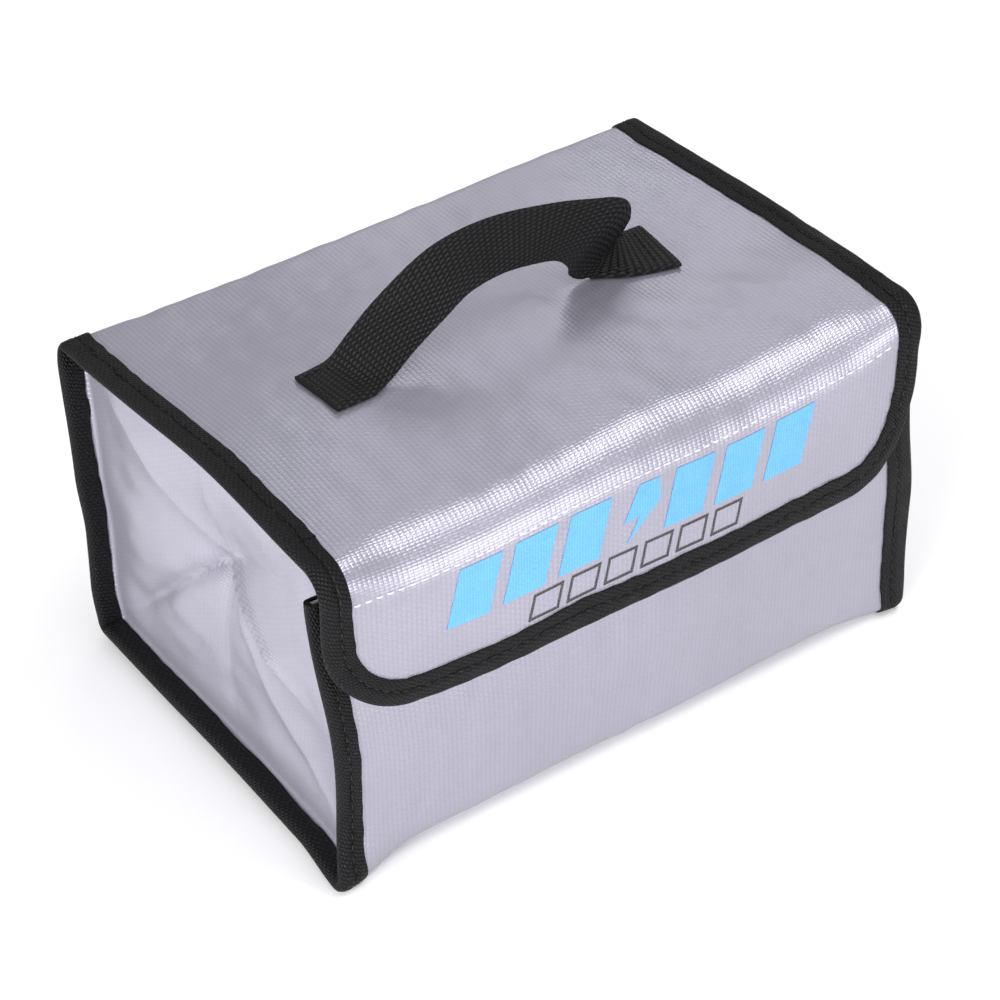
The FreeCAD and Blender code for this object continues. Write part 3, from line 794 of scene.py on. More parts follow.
@made_once
def loop_material():
    """Brushed loops: a matt, matted pile."""
    material, tree, shader, place = new_material("Loop tape", 0.95, sheen=0.6, specular=0.2)
    pile = noise(tree, place.outputs["Object"], 1300.0, 5.0, 0.75)
    paint(tree, shader, mixed(tree, pile, (0.008, 0.008, 0.009), (0.06, 0.06, 0.065)))
    bump(tree, shader, pile, 0.9 * MM)
    return material


@made_once
def print_material(name, colour, cloth, wear):
    """Screen print: thin ink that leaves the weave showing."""
    material, tree, shader, place = new_material(name, 0.45)
    weave, patchy = patterned(tree, place, "Weave", colour, 220.0, 0.12,
                              Warp_per_metre=1050.0, Weft_per_metre=1050.0)
    paint(tree, shader, mixed(tree, times(tree, weave["Gaps"], wear), patchy["Colour"], cloth))
    bump(tree, shader, weave["Height"], 0.16 * MM, 0.75)
    return material


def finish_tape(tape, colours, node):
    finish_piece(tape, binding_tape(colours), [node])


def finish_seam(seam, node):
    black = thread_material("Black thread", (0.006, 0.006, 0.007))
    finish_piece(seam, black, [node])


def bag_settings(context):
    return context.scene.safe_bag_sizes, context.scene.safe_bag_colours


# ---------------------------------------------------------------- the box of the bag

def wrap_sheet(name, v_from, v_to, height, columns, rows, bag, last=None):
    """A stretch of the wrap or its lining at a height above the outer face, which ends up at last."""
    half = CLOTH_HALF - 0.8 * MM
    last = height if last is None else last

    def place(a, b):
        v = v_from + b * (v_to - v_from)
        u = (a * 2 - 1) * half
        return on_wrap(u, v, height + (last - height) * ease(b * 6), bag), np.stack([u, v], axis=1)

    piece = grid(name, columns, rows, place)
    flip(piece)
    return piece


class SAFEBAG_OT_wrap(bpy.types.Operator):
    """Front, bottom and back cloth with its lining"""
    bl_idname = "safebag.wrap"
    bl_label = "Wrap"

    def execute(self, context):
        bag, colours = bag_settings(context)
        cloth = wrap_sheet("wrap_cloth", 0.0, STATION["wall"], 0.0, 150, 190, bag)
        thicken(cloth, PLY)
        finish_piece(cloth, coated_cloth(colours), ["wrap_shell"])
        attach(cloth, "bag")
        lining = wrap_sheet("wrap_lining_cloth", 0.0, STATION["wall"], -PLY - 0.05 * MM, 80, 110, bag)
        thicken(lining, LINING)
        finish_piece(lining, lining_cloth(colours), ["wrap_lining"])
        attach(lining, "bag")
        return {"FINISHED"}


def end_outline(deep):
    """Front, back, floor and top bounds of an end panel that fits inside the wrap, deep from its outer face."""
    low_y, high_y = FRONT + deep, BACK - deep
    low_z, high_z = FLOOR + deep, BODY_TOP - TAPE
    return low_y, high_y, low_z, high_z


def round_corner(p, q, radius):
    """Bend the square corner of a grid into a round one: p and q are distances in from the two sides."""
    near = (p < radius) & (q < radius)
    s, t = 1 - p / radius, 1 - q / radius
    s2, t2 = s * np.sqrt(np.maximum(1 - t * t / 2, 0)), t * np.sqrt(np.maximum(1 - s * s / 2, 0))
    return np.where(near, radius * (1 - s2), p), np.where(near, radius * (1 - t2), q)


def crease_depth(y, z, side):
    """Folds in an end panel: ridges and valleys that run out from a pinched place."""
    heart = np.array([5 * MM, 69 * MM]) if side < 0 else np.array([-12 * MM, 60 * MM])
    rays = [((60, 13), -1.0, 2.4), ((66, 104), 0.40, 4.0), ((6, 106), 0.45, 3.0), ((-46, 92), -0.40, 5.0),
            ((-44, 47), 0.85, 1.8), ((-58, 8), 0.55, 3.0), ((2, 8), -0.45, 4.0), ((40, 44), 0.30, 6.0)]
    depth = np.zeros(y.shape)
    flip_y = 1 if side < 0 else -1
    for (ray_y, ray_z), height, width in rays:
        end = np.array([ray_y * flip_y * MM, ray_z * MM])
        line = end - heart
        length = np.linalg.norm(line)
        along = ((y - heart[0]) * line[0] + (z - heart[1]) * line[1]) / length ** 2
        off = np.abs((y - heart[0]) * line[1] - (z - heart[1]) * line[0]) / length
        fade = ease(along * 6 + 0.4) * ease((1.15 - along) * 1.8)
        spread = width * MM * (0.8 + 1.6 * np.clip(along, 0, 1))
        depth += height * fade * np.exp(-off / spread)
    away = np.hypot(y - heart[0], z - heart[1])
    return depth - 0.9 * np.exp(-(away / (13 * MM)) ** 2)


def end_panel(name, side, deep, bag, columns=112, rows=92):
    """A plate with creases whose edge turns out into the rim, deep from the wrap's outer face."""
    low_y, high_y, low_z, high_z = end_outline(deep)
    lip = HALF - TAPE - END_PLANE - 1.1 * MM
    bend = 3.2 * MM
    border = 4

    def place(a, b):
        # the outermost rows of the grid make the lip
        i, j = a * columns, b * rows
        out = np.maximum.reduce([border - i, i - (columns - border), border - j, j * 0])
        out = np.clip(out, 0, border) / border
        p = np.clip((i - border) / (columns - 2 * border), 0, 1)
        q = np.clip((j - border) / (rows - border), 0, 1)
        # crowd the grid towards its edges, where it bends
        p = p + 0.045 * np.sin(2 * math.pi * p) * -1
        q = q + 0.030 * np.sin(2 * math.pi * q) * -1
        wide, tall = high_y - low_y, high_z - low_z
        from_front, from_back = p * wide, (1 - p) * wide
        from_floor, from_top = q * tall, (1 - q) * tall
        f1, d1 = round_corner(from_front, from_floor, TIGHT_BENDS[0] - deep)
        b1, d2 = round_corner(from_back, from_floor, TIGHT_BENDS[1] - deep)
        f2, t1 = round_corner(from_front, from_top, 12 * MM)
        front_half, low_half = p < 0.5, q < 0.5
        y = np.where(front_half, low_y + np.where(low_half, f1, f2), high_y - np.where(low_half, b1, from_back))
        z = np.where(low_half, low_z + np.where(front_half, d1, d2), high_z - np.where(front_half, t1, from_top))
        edge = np.minimum.reduce([from_front, from_back, from_floor])
        edge = np.where(edge < bend, edge, bend)
        turn = bend - np.sqrt(np.maximum(bend ** 2 - (bend - edge) ** 2, 0))
        # above the front wall's top the panel's edge is free, and lies flat in its tape
        sewn = np.where(p < 0.5, ease((WALL_TOP + 0.5 * MM - z) / (3 * MM)), 1.0)
        x = END_PLANE + (turn + out * np.maximum(lip - bend, 0)) * sewn
        inside = ease((np.minimum.reduce([from_front, from_back, from_floor]) - 1.5 * MM) / (16 * MM))
        inside *= ease((from_top - 6 * MM) / (14 * MM))
        folds = bag.crease * crease_depth(y, z, side) * inside
        belly = 1.2 * MM * inside * waves(y, z, 75 * MM, 31 + side)
        fine = 0.14 * MM * inside * waves(y, z, 17 * MM, 41 + side)
        x = x + folds + belly + fine
        points = np.stack([x * side, y + lean(x * side, y, z), z], axis=1)
        return settle(points, bag), np.stack([y, z], axis=1)

    piece = grid(name, columns, rows, place)
    if side < 0:
        flip(piece)
    return piece


class SAFEBAG_OT_ends(bpy.types.Operator):
    """End panels with their creases, and their linings"""
    bl_idname = "safebag.ends"
    bl_label = "End panels"

    def execute(self, context):
        bag, colours = bag_settings(context)
        for side_name, side in (("left", -1), ("right", 1)):
            panel = end_panel(f"{side_name}_end_cloth", side, STACK + LINING, bag)
            thicken(panel, PLY)
            lining = panel.copy()
            lining.data = panel.data.copy()
            lining.name = lining.data.name = f"{side_name}_end_lining_cloth"
            context.collection.objects.link(lining)
            for vertex in lining.data.vertices:
                vertex.co.x -= side * (PLY + 0.1 * MM)
            finish_piece(panel, coated_cloth(colours), [f"{side_name}_end_panel"])
            finish_piece(lining, lining_cloth(colours), [f"{side_name}_end_lining"])
            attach(panel, "bag")
            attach(lining, "bag")
        return {"FINISHED"}


def rim_tape(name, side, v_values, section, wobble, seed, bag):
    """Tape folded over the end of the wrap."""
    def put(i, q, h):
        return on_wrap(side * (HALF - q), v_values[i], h, bag)

    return sweep(name, len(v_values), section, put, wobble, seed)


GROOVE = 5.6 * MM
TUCK = 7.0 * MM


def narrower(side):
    """How much less tape shows on the front wall: it was sewn on unevenly."""
    return 1.6 * MM if side < 0 else -1.4 * MM


def tape_seam_rows(side, v_from, v_to, bag):
    """Where the needle goes along a rim's tape."""
    v = np.linspace(v_from, v_to, 220)
    u = side * (HALF - GROOVE + narrower(side) * ease((STATION["front"] - v) / (12 * MM)))
    outside = on_wrap(u, v, np.full(len(v), TAPE - 0.15 * MM), bag)
    return [(outside, normals(u, v, bag))]


class SAFEBAG_OT_rims(bpy.types.Operator):
    """Binding tape folded over the end rims and the open edges, with its seams"""
    bl_idname = "safebag.rims"
    bl_label = "Rims"

    def execute(self, context):
        bag, colours = bag_settings(context)
        for side_name, side in (("left", -1), ("right", 1)):
            v = np.linspace(0.0, STATION["wall"], 240)
            legs = TAPE_WIDTH - narrower(side) * ease((STATION["front"] - v) / (12 * MM))
            sections = np.stack([tape_section(leg, TUCK, 2 * STACK, leg - 3.9 * MM) for leg in legs])
            tape = rim_tape(f"{side_name}_end_tape", side, v, sections, 0.22 * MM, 51 + side, bag)
            finish_tape(tape, colours, f"{side_name}_end_binding")
            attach(tape, "bag")
            seam = stitches(f"{side_name}_end_stitches", tape_seam_rows(side, 0.0, STATION["wall"], bag), bag)
            finish_seam(seam, f"{side_name}_end_seam")
            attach(seam, "bag")
            mouth = mouth_tape(f"{side_name}_mouth_tape", side, bag)
            finish_tape(mouth, colours, f"{side_name}_mouth_binding")
            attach(mouth, "bag")
        front = front_tape("front_mouth_tape", bag)
        finish_tape(front, colours, "front_mouth_binding")
        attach(front, "bag")
        return {"FINISHED"}


def mouth_tape(name, side, bag):
    """Tape over an end panel's top edge, down round its front corner."""
    corner = 12 * MM
    edge = FRONT + STACK + LINING
    top = BODY_TOP - TAPE
    straight = np.linspace(BACK - 2 * STACK - 0.4 * MM, edge + corner, 90)
    turn = np.linspace(0, math.pi / 2, 16)[1:]
    path_y = np.concatenate([straight, edge + corner - corner * np.sin(turn)])
    path_z = np.concatenate([np.full(90, top), top - corner + corner * np.cos(turn)])
    down_y = np.concatenate([np.zeros(90), np.sin(turn)])
    down_z = np.concatenate([-np.ones(90), -np.cos(turn)])
    face = END_PLANE * side
    section = tape_section(8 * MM, 8 * MM, STACK + 0.15 * MM, GROOVE) - np.array([TAPE, 0])

    def put(i, q, h):
        y, z = path_y[i] + down_y[i] * q, path_z[i] + down_z[i] * q
        y = y + lean(face, y, z)
        return settle(np.stack([face + side * h, y, z], axis=1), bag)

    return sweep(name, len(path_y), section, put, 0.12 * MM, 61 + side)


def front_tape(name, bag):
    """Tape over the front wall's top edge, between the end panels."""
    u = np.linspace(FRONT_TAPE_LOW[0], FRONT_TAPE_HIGH[0], 120)
    section = tape_section(8 * MM, 8 * MM, STACK, GROOVE) - np.array([TAPE, 0])

    def put(i, q, h):
        return on_wrap(u[i], q, h, bag)

    return sweep(name, len(u), section, put, 0.12 * MM, 67)


def v_on_front(z):
    return WALL_TOP - z


def v_on_flap(z):
    return STATION["end"] - (z - FLAP_END)


def strip(name, low, high, to_v, height, thickness, bag):
    """A hook or loop strip that lies on the wrap, out to a height above its outer face."""
    v_from, v_to = to_v(high[2]), to_v(low[2])

    def place(a, b):
        u = low[0] + a * (high[0] - low[0])
        v = v_from + b * (v_to - v_from)
        ragged = 0.12 * MM * waves(u, v, 9 * MM, 71) * (np.abs(b - 0.5) > 0.45)
        return on_wrap(u, v + ragged, np.full(u.shape, height), bag), np.stack([u, v], axis=1)

    piece = grid(name, 120, 16, place)
    flip(piece)
    thicken(piece, thickness)
    return piece


class SAFEBAG_OT_closure(bpy.types.Operator):
    """Hook strip on the front wall and loop strip inside the flap"""
    bl_idname = "safebag.closure"
    bl_label = "Hook and loop"

    def execute(self, context):
        bag = bag_settings(context)[0]
        ply = HOOK_HIGH[1] - HOOK_LOW[1]
        hooks = strip("hook_tape", HOOK_LOW, HOOK_HIGH, v_on_front, ply - 0.05 * MM, ply - 0.1 * MM, bag)
        finish_piece(hooks, hook_material(), ["hook_strip"])
        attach(hooks, "bag")
        loops = strip("loop_tape", LOOP_LOW, LOOP_HIGH, v_on_flap, -STACK - 0.1 * MM, ply - 0.2 * MM, bag)
        finish_piece(loops, loop_material(), ["loop_strip"])
        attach(loops, "flap")
        rows = []
        for z in (HOOK_LOW[2] + 2.5 * MM, HOOK_HIGH[2] - 2.5 * MM):
            u = np.linspace(HOOK_LOW[0], HOOK_HIGH[0], 160)
            v = np.full(len(u), v_on_front(z))
            rows.append((on_wrap(u, v, np.full(len(u), -STACK - 0.1 * MM), bag), -normals(u, v, bag)))
        seam = stitches("hook_tape_stitches", rows, bag)
        finish_seam(seam, "hook_strip_seam")
        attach(seam, "bag")
        return {"FINISHED"}


# ---------------------------------------------------------------- the lid


class SAFEBAG_OT_lid(bpy.types.Operator):
    """Lid cloth and lining, folded at the back, with the tape along its ends"""
    bl_idname = "safebag.lid"
    bl_label = "Lid"

    def execute(self, context):
        bag, colours = bag_settings(context)
        cloth = wrap_sheet("lid_cloth", STATION["wall"], STATION["fold"], 0.0, 150, 150, bag)
        thicken(cloth, PLY)
        finish_piece(cloth, coated_cloth(colours), ["lid_panel"])
        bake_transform(cloth)
        lining = wrap_sheet("lid_lining_cloth", STATION["wall"], STATION["fold"], -PLY - 0.05 * MM,
                            100, 150, bag, last=-PLY - 0.30 * MM)
        thicken(lining, LINING)
        finish_piece(lining, lining_cloth(colours), ["lid_lining"])
        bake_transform(lining)
        for side_name, side in (("left", -1), ("right", 1)):
            v = np.concatenate([np.linspace(STATION["wall"], STATION["lid"] + 2 * MM, 40),
                                np.linspace(STATION["lid"] + 3 * MM, STATION["fold"], 110)])
            thin = ease((v - STATION["lid"] + 7 * MM) / (6 * MM))
            stacks = 2 * STACK - STACK * thin
            sections = np.stack([tape_section(TAPE_WIDTH, TUCK, stack, GROOVE) for stack in stacks])
            tape = rim_tape(f"{side_name}_lid_tape", side, v, sections, 0.22 * MM, 81 + side, bag)
            finish_tape(tape, colours, f"{side_name}_lid_binding")
            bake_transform(tape)
            seam = stitches(f"{side_name}_lid_stitches",
                            tape_seam_rows(side, STATION["lid"], STATION["fold"], bag), bag)
            finish_seam(seam, f"{side_name}_lid_seam")
            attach(seam, "lid")
        return {"FINISHED"}


# ---------------------------------------------------------------- the flap


def flap_sheet(name, inset, height, columns, rows, bag):
    def place(a, b):
        # rows crowd towards the rounded corners
        b = 1 - (1 - b) ** 1.25
        v = STATION["fold"] + b * (STATION["end"] - inset - STATION["fold"])
        u = (a * 2 - 1) * flap_half(v, inset)
        return on_wrap(u, v, np.full(u.shape, height), bag), np.stack([u, v], axis=1)

    piece = grid(name, columns, rows, place)
    flip(piece)
    return piece


def flap_edge(inset, count=150):
    """The flap's edge in the cloth's own u and v, with the directions inward."""
    radius = FLAP_CORNER - inset
    low, out = STATION["end"] - inset, HALF - inset
    side_v = np.linspace(STATION["fold"], low - radius, 50)
    turn = np.linspace(0, math.pi / 2, 40)[1:]
    flat = np.linspace(-(out - radius), out - radius, count)[1:-1]
    u = np.concatenate([np.full(50, -out), -(out - radius) - radius * np.cos(turn), flat,
                        (out - radius) + radius * np.cos(turn[::-1]), np.full(50, out)])
    v = np.concatenate([side_v, low - radius + radius * np.sin(turn), np.full(len(flat), low),
                        low - radius + radius * np.sin(turn[::-1]), side_v[::-1]])
    back_again = turn[::-1]
    in_u = np.concatenate([np.ones(50), np.cos(turn), np.zeros(len(flat)), -np.cos(back_again), -np.ones(50)])
    in_v = np.concatenate([np.zeros(50), -np.sin(turn), -np.ones(len(flat)), -np.sin(back_again),
                           np.zeros(50)])
    return u, v, in_u, in_v


class SAFEBAG_OT_flap(bpy.types.Operator):
    """Flap cloth, lining, tape and seams"""
    bl_idname = "safebag.flap"
    bl_label = "Flap"

    def execute(self, context):
        bag, colours = bag_settings(context)
        cloth = flap_sheet("flap_cloth", TAPE + 0.8 * MM, 0.0, 150, 84, bag)
        thicken(cloth, PLY)
        finish_piece(cloth, coated_cloth(colours), ["flap_panel"])
        lining = flap_sheet("flap_lining_cloth", TAPE + 0.8 * MM, -PLY - 0.05 * MM, 80, 50, bag)
        thicken(lining, LINING)
        finish_piece(lining, lining_cloth(colours), ["flap_lining"])
        u, v, in_u, in_v = flap_edge(0.0)
        section = tape_section(TAPE_WIDTH, TAPE_WIDTH - 0.6 * MM, STACK, GROOVE)

        def put(i, q, h):
            return on_wrap(u[i] + in_u[i] * q, v[i] + in_v[i] * q, h, bag)

        tape = sweep("flap_tape", len(u), section, put, 0.24 * MM, 91)
        finish_tape(tape, colours, "flap_binding")
        su, sv = u + in_u * GROOVE, v + in_v * GROOVE
        row = (on_wrap(su, sv, np.full(len(su), TAPE - 0.15 * MM), bag), normals(su, sv, bag))
        edge_seam = stitches("flap_tape_stitches", [row], bag)
        finish_seam(edge_seam, "flap_edge_seam")
        su = np.linspace(-HALF + TAPE_WIDTH, HALF - TAPE_WIDTH, 300)
        sv = v_on_flap(low_high("flap_seam")[0][2] + 6.4 * MM + 1.0 * MM * su / HALF)
        sv = sv + 0.4 * MM * waves(su, su * 0, 80 * MM, 93)
        row = (on_wrap(su, sv, np.full(len(su), -0.05 * MM), bag), normals(su, sv, bag))
        white_seam = stitches("flap_seam_stitches", [row], bag)
        white = thread_material("White thread", (0.80, 0.80, 0.82))
        finish_piece(white_seam, white, ["flap_seam"])
        for piece in (cloth, lining, tape, edge_seam, white_seam):
            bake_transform(piece)
        return {"FINISHED"}


INK = 0.10 * MM              # the print's height above the cloth


def patch(outline, cuts, bag):
    """A printed patch on the flap: an outline in x and z, filled, divided and laid on the cloth."""
    mesh = bmesh.new()
    corners = [mesh.verts.new((x, 0.0, z)) for x, z in outline]
    mesh.faces.new(corners)
    bmesh.ops.triangulate(mesh, faces=mesh.faces[:])
    for _ in range(cuts):
        bmesh.ops.subdivide_edges(mesh, edges=mesh.edges[:], cuts=1, use_grid_fill=True)
    flat = np.array([vertex.co for vertex in mesh.verts])
    u, v = flat[:, 0], v_on_flap(flat[:, 2])
    places = on_wrap(u, v, np.full(len(u), INK), bag)
    layer = mesh.loops.layers.uv.new("UVMap")
    mesh.verts.index_update()
    for face in mesh.faces:
        for loop in face.loops:
            loop[layer].uv = (u[loop.vert.index], v[loop.vert.index])
    for vertex, point in zip(mesh.verts, places):
        vertex.co = point
    return mesh


def join_patches(name, outlines, cuts, bag):
    whole = bmesh.new()
    whole.loops.layers.uv.new("UVMap")
    for outline in outlines:
        part = patch(outline, cuts, bag)
        data = bpy.data.meshes.new("patch")
        part.to_mesh(data)
        part.free()
        whole.from_mesh(data)
        bpy.data.meshes.remove(data)
    mesh = bpy.data.meshes.new(name)
    whole.to_mesh(mesh)
    whole.free()
    piece = bpy.data.objects.new(name, mesh)
    bpy.context.collection.objects.link(piece)
    edit_mesh(piece, face_forward)
    return piece


def face_forward(mesh):
    """Turn every face of a printed patch to the front."""
    mesh.normal_update()
    backward = [face for face in mesh.faces if face.normal.y > 0]
    bmesh.ops.reverse_faces(mesh, faces=backward)


def leaning_bar(left, right, low, high, lean):
    return [(left, low), (right, low), (right + lean, high), (left + lean, high)]


def charge_outlines():
    """Leaning charge bars with a lightning bolt in the middle."""
    low, high = PRINT_LOW[2] + 2.0 * MM, PRINT_HIGH[2] + 5.2 * MM
    left, right = PRINT_LOW[0] - 6 * MM, PRINT_HIGH[0] + 5 * MM
    tall, count = high - low, 7
    lean = tall / 4
    pitch = (right - left - lean) / count
    outlines = []
    for i in range(count):
        start = left + i * pitch
        middle = start + pitch * 0.5
        if i != count // 2:
            outlines.append(leaning_bar(start, start + pitch * 0.76, low, high, lean))
            continue
        outlines.append([(middle - pitch * 0.22, low), (middle + pitch * 0.44, low + tall * 0.60),
                         (middle + pitch * 0.12, low + tall * 0.57), (middle + pitch * 0.40, high),
                         (middle + pitch * 0.02, high), (middle - pitch * 0.28, low + tall * 0.40),
                         (middle + pitch * 0.02, low + tall * 0.43)])
    return outlines


def cell_outlines():
    """Small outlined cells, each of four thin bars."""
    low, high = CELL_LOW[2] + 1.0 * MM, CELL_HIGH[2] + 2.0 * MM
    left, right = CELL_LOW[0] - 10 * MM, CELL_HIGH[0] + 6 * MM
    tall, count, line = high - low, 6, 0.9 * MM
    lean = tall / 4
    pitch = (right - left) / count
    outlines = []
    for i in range(count):
        a, b = left + i * pitch, left + (i + 0.8) * pitch
        shift = lean * line / tall
        outlines.append(leaning_bar(a, b, low, low + line, shift))
        outlines.append(leaning_bar(a + lean - shift, b + lean - shift, high - line, high, shift))
        rise = lean - 2 * shift
        outlines.append(leaning_bar(a + shift, a + shift + line, low + line, high - line, rise))
        outlines.append(leaning_bar(b + shift - line, b + shift, low + line, high - line, rise))
    return outlines


class SAFEBAG_OT_prints(bpy.types.Operator):
    """Printed charge bars and cells on the flap"""
    bl_idname = "safebag.prints"
    bl_label = "Prints"

    def execute(self, context):
        bag, colours = bag_settings(context)
        bars = join_patches("charge_bars", charge_outlines(), 3, bag)
        blue = print_material("Blue ink", colours.blue, colours.cloth, 0.35)
        finish_piece(bars, blue, ["charge_print"])
        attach(bars, "flap")
        cells = join_patches("cell_frames", cell_outlines(), 2, bag)
        black = print_material("Black ink", (0.012, 0.012, 0.014), colours.cloth, 0.3)
        finish_piece(cells, black, ["cell_print"])
        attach(cells, "flap")
        return {"FINISHED"}


# ---------------------------------------------------------------- the handle

# the strap's back and front edges, in millimetres, z above the lid: sewn end, arch, curl, sewn end
STRAP_BACK = [(-65, 9.8, 1.6), (-59, 9.9, 1.7), (-53, 9.6, 3.2), (-47, 8.6, 10.0), (-38, 8.0, 18.4),
              (-22, 8.0, 27.8), (-9, 8.0, 31.0), (5, 8.0, 31.2), (20, 7.6, 29.4), (36, 6.8, 26.8),
              (50.5, 6.6, 22.8), (54.5, 8.8, 14.0), (53.0, 13.0, 5.4), (57, 16.2, 2.0), (65, 16.2, 1.6)]
STRAP_FRONT = [(-64, -11.6, 1.6), (-57, -11.6, 1.6), (-50, -11.2, 1.9), (-43, -8.5, 2.8), (-33, -5.5, 6.8),
               (-22, -4.4, 12.5), (-13, -4.2, 17.5), (-2, -4.4, 19.6), (9, -4.4, 18.8), (18, -3.6, 16.6),
               (24, -1.0, 11.4), (27.5, 2.6, 5.4), (34, 2.2, 2.3), (47, -4.4, 1.8), (62, -8.6, 1.6)]


def smooth_line(points, count):
    """Points along a smooth line through the given ones."""
    knots = np.array(points, float)
    padded = np.vstack([2 * knots[0] - knots[1], knots, 2 * knots[-1] - knots[-2]])
    at = np.linspace(0, len(knots) - 1, count)
    i = np.minimum(at.astype(int), len(knots) - 2)
    t = (at - i)[:, None]
    p0, p1, p2, p3 = (padded[i + k] for k in range(4))
    return 0.5 * (2 * p1 + (p2 - p0) * t + (2 * p0 - 5 * p1 + 4 * p2 - p3) * t ** 2
                  + (3 * p1 - p0 - 3 * p2 + p3) * t ** 3)


RIBBON_COLUMNS = 14


def ribbon(name, back, front, thickness, ridge=None):
    """A flat strap between two edges, with rounded selvedges."""
    rows = len(back)
    middle = (back + front) / 2
    run = path_length(middle)
    along = np.gradient(middle, axis=0)
    along /= np.linalg.norm(along, axis=1, keepdims=True)
    across = front - back
    width = np.linalg.norm(across, axis=1, keepdims=True)
    normal = np.cross(across / width, along)
    normal /= np.linalg.norm(normal, axis=1, keepdims=True)
    half = RIBBON_COLUMNS + 1
    share = np.concatenate([np.linspace(0, 1, half), np.linspace(1, 0, half)])
    lift = np.concatenate([np.ones(half), -np.ones(half)]) * thickness / 2
    squeeze = 1 - 0.55 * np.abs(share * 2 - 1) ** 14
    ring = len(share)
    rise, crest = ridge if ridge else (np.zeros(rows), np.full(rows, 0.5))

    def place(a, b):
        i = np.clip(np.rint(b * (rows - 1)).astype(int), 0, rows - 1)
        raw = np.rint(a * ring).astype(int)
        k = raw % ring
        tent = np.minimum(share[k] / crest[i], (1 - share[k]) / (1 - crest[i])) * rise[i]
        points = (back[i] + across[i] * share[k][:, None]
                  + normal[i] * (lift[k] * squeeze[k] + thickness / 2 + tent)[:, None])
        return points, np.stack([run[i], share[k] * 25 * MM], axis=1)

    piece = grid(name, ring, rows - 1, place)
    close_tube(piece)
    return piece


def lid_height(points, bag):
    """The settled lid's height under each point."""
    flat = np.stack([points[:, 0], points[:, 1], np.full(len(points), TOP)], axis=1)
    return settle(flat, bag)[:, 2]


class SAFEBAG_OT_handle(bpy.types.Operator):
    """Webbing handle with its sewn ends"""
    bl_idname = "safebag.handle"
    bl_label = "Handle"

    def execute(self, context):
        bag, colours = bag_settings(context)
        count = 170
        back, front = (smooth_line(points, count) * MM for points in (STRAP_BACK, STRAP_FRONT))
        for line in (back, front):
            line[:, 2] += lid_height(line, bag) - 1.4 * MM
        # a crease runs from the back edge to the front edge, up the left side of the arch
        way = np.clip((back[:, 0] + 46 * MM) / (46 * MM), 0, 1)
        strap = ribbon("handle_strap_webbing", back, front, 1.7 * MM,
                       ridge=(2.2 * MM * np.sin(way * math.pi) ** 0.7, 0.12 + 0.76 * way))
        finish_piece(strap, handle_webbing(colours), ["handle_strap"])
        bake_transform(strap)
        for side_name, pick in (("left", slice(0, 24)), ("right", slice(count - 24, count))):
            under_back, under_front = back[pick].copy(), front[pick].copy()
            for line in (under_back, under_front):
                line[:, 2] = lid_height(line, bag) + 0.1 * MM
            fold = ribbon(f"handle_{side_name}_fold", under_back, under_front, 1.3 * MM)
            finish_piece(fold, handle_webbing(colours), [f"handle_{side_name}_end"])
            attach(fold, "lid")
            seam = self.pad_seam(f"handle_{side_name}_stitches", back[pick], front[pick], bag)
            finish_seam(seam, f"handle_{side_name}_seam")
            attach(seam, "lid")
        return {"FINISHED"}

    def pad_seam(self, name, back, front, bag):
        """A sewn box on a strap end."""
        first, last = 2, len(back) - 6
        rows = []
        for share in (0.1, 0.9):
            line = back + (front - back) * share
            rows.append(line[first:last])
        for i in (first, last):
            steps = np.linspace(0.1, 0.9, 24)[:, None]
            rows.append(back[i] + (front[i] - back[i]) * steps)
        lifted = []
        for row in rows:
            row = row + np.array([0, 0, 1.75 * MM])
            lifted.append((row, np.tile([0.0, 0.0, 1.0], (len(row), 1))))
        return stitches(name, lifted, bag)


# ---------------------------------------------------------------- the stage

def look_from(camera, place, azimuth, elevation, roll):
    """Turn the camera: azimuth 0 looks along +Y, and the roll is about its own axis."""
    a, e, r = (math.radians(value) for value in (azimuth, elevation, roll))
    back = Vector((math.sin(a) * math.cos(e), -math.cos(a) * math.cos(e), math.sin(e)))
    right = (-back).cross(Vector((0, 0, 1))).normalized()
    up = right.cross(-back)
    turned_right = right * math.cos(r) + up * math.sin(r)
    turned_up = up * math.cos(r) - right * math.sin(r)
    rotation = Matrix((turned_right, turned_up, back)).transposed()
    camera.matrix_world = Matrix.Translation(place) @ rotation.to_4x4()


def area_light(name, place, target, size, power, colour):
    light = bpy.data.lights.new(name, "AREA")
    light.shape = "RECTANGLE"
    light.size, light.size_y = size
    light.energy = power
    light.color = colour
    holder = bpy.data.objects.new(name, light)
    bpy.context.collection.objects.link(holder)
    holder.location = place
    holder.rotation_euler = (Vector(target) - Vector(place)).to_track_quat("-Z", "Y").to_euler()


LIGHTS = (
    # name, place, target, size, power, colour
    ("window", (-1.10, -0.42, 0.28), (0, 0, 0.04), (0.9, 0.5), 22.5, (1.0, 0.99, 0.98)),
    ("front_fill", (0.20, -1.15, 0.22), (0, 0, 0.03), (0.8, 0.4), 7.0, (1, 1, 1)),
    ("gloss", (0.50, -0.24, 1.06), (0, 0, 0.10), (0.80, 0.10), 5.2, (1, 1, 1)),
    ("back_panel", (0.62, 0.80, 0.80), (0, 0, 0.10), (0.40, 0.20), 0.9, (1, 1, 1)),
)
SKY, SKY_STRENGTH = (0.97, 0.975, 1.0, 1.0), 0.66
CAMERA_PLACE = (-0.40313, -0.57716, 0.57812)
CAMERA_TURN = (-34.875, 36.91, -1.126)      # azimuth, elevation and roll, in degrees
CAMERA_LENS = 102.45


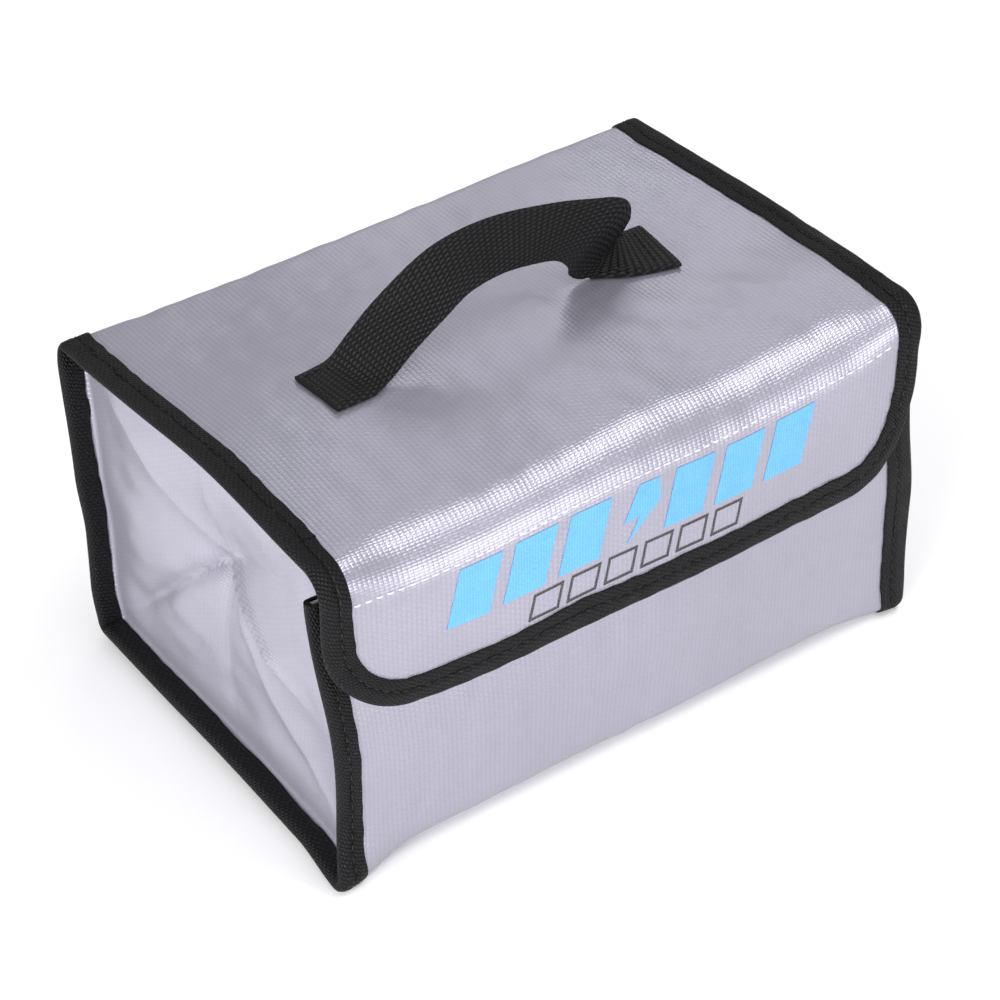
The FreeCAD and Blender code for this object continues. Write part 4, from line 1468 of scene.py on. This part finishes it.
class SAFEBAG_OT_stage(bpy.types.Operator):
    """Pale floor, soft light and camera"""
    bl_idname = "safebag.stage"
    bl_label = "Stage"

    def execute(self, context):
        deselect()
        bpy.ops.mesh.primitive_plane_add(size=30, location=(0, 0, -0.02 * MM))
        floor = context.object
        floor.name = "floor"
        material, tree, shader, place = new_material("Pale floor", 0.85, specular=0.2)
        clouds = noise(tree, place.outputs["Object"], 3.0)
        paint(tree, shader, mixed(tree, clouds, (0.92, 0.92, 0.92), (0.95, 0.95, 0.95)))
        floor.data.materials.append(material)
        world = bpy.data.worlds.new("Soft room")
        context.scene.world = world
        world.use_nodes = True
        sky = world.node_tree.nodes["Background"]
        sky.inputs["Color"].default_value = SKY
        sky.inputs["Strength"].default_value = SKY_STRENGTH
        for light in LIGHTS:
            area_light(*light)
        data = bpy.data.cameras.new("camera")
        data.sensor_width = 36
        data.lens = CAMERA_LENS
        data.clip_end = 50
        camera = bpy.data.objects.new("camera", data)
        context.collection.objects.link(camera)
        look_from(camera, Vector(CAMERA_PLACE), *CAMERA_TURN)
        context.scene.camera = camera
        context.scene.view_settings.view_transform = "Standard"
        return {"FINISHED"}


# ---------------------------------------------------------------- add-on

PIECES = (SAFEBAG_OT_wrap, SAFEBAG_OT_ends, SAFEBAG_OT_rims, SAFEBAG_OT_closure, SAFEBAG_OT_lid,
          SAFEBAG_OT_flap, SAFEBAG_OT_prints, SAFEBAG_OT_handle, SAFEBAG_OT_stage)


class SAFEBAG_PT_panel(bpy.types.Panel):
    """Sizes, colours and pieces of the bag"""
    bl_idname = "SAFEBAG_PT_panel"
    bl_label = "Safe Bag"
    bl_space_type = "VIEW_3D"
    bl_region_type = "UI"
    bl_category = "Safe Bag"

    def draw(self, context):
        for settings in bag_settings(context):
            box = self.layout.box()
            for name in type(settings).__annotations__:
                box.prop(settings, name)
        for piece in PIECES:
            self.layout.operator(piece.bl_idname)


CLASSES = (SafeBagSizes, SafeBagColours) + PIECES + (SAFEBAG_PT_panel,)


def register():
    for cls in CLASSES:
        bpy.utils.register_class(cls)
    bpy.types.Scene.safe_bag_sizes = PointerProperty(type=SafeBagSizes)
    bpy.types.Scene.safe_bag_colours = PointerProperty(type=SafeBagColours)


def unregister():
    del bpy.types.Scene.safe_bag_colours
    del bpy.types.Scene.safe_bag_sizes
    for cls in reversed(CLASSES):
        bpy.utils.unregister_class(cls)


def main():
    register()
    for piece in PIECES:
        group, name = piece.bl_idname.split(".")
        getattr(getattr(bpy.ops, group), name)()


if __name__ == "__main__":
    main()
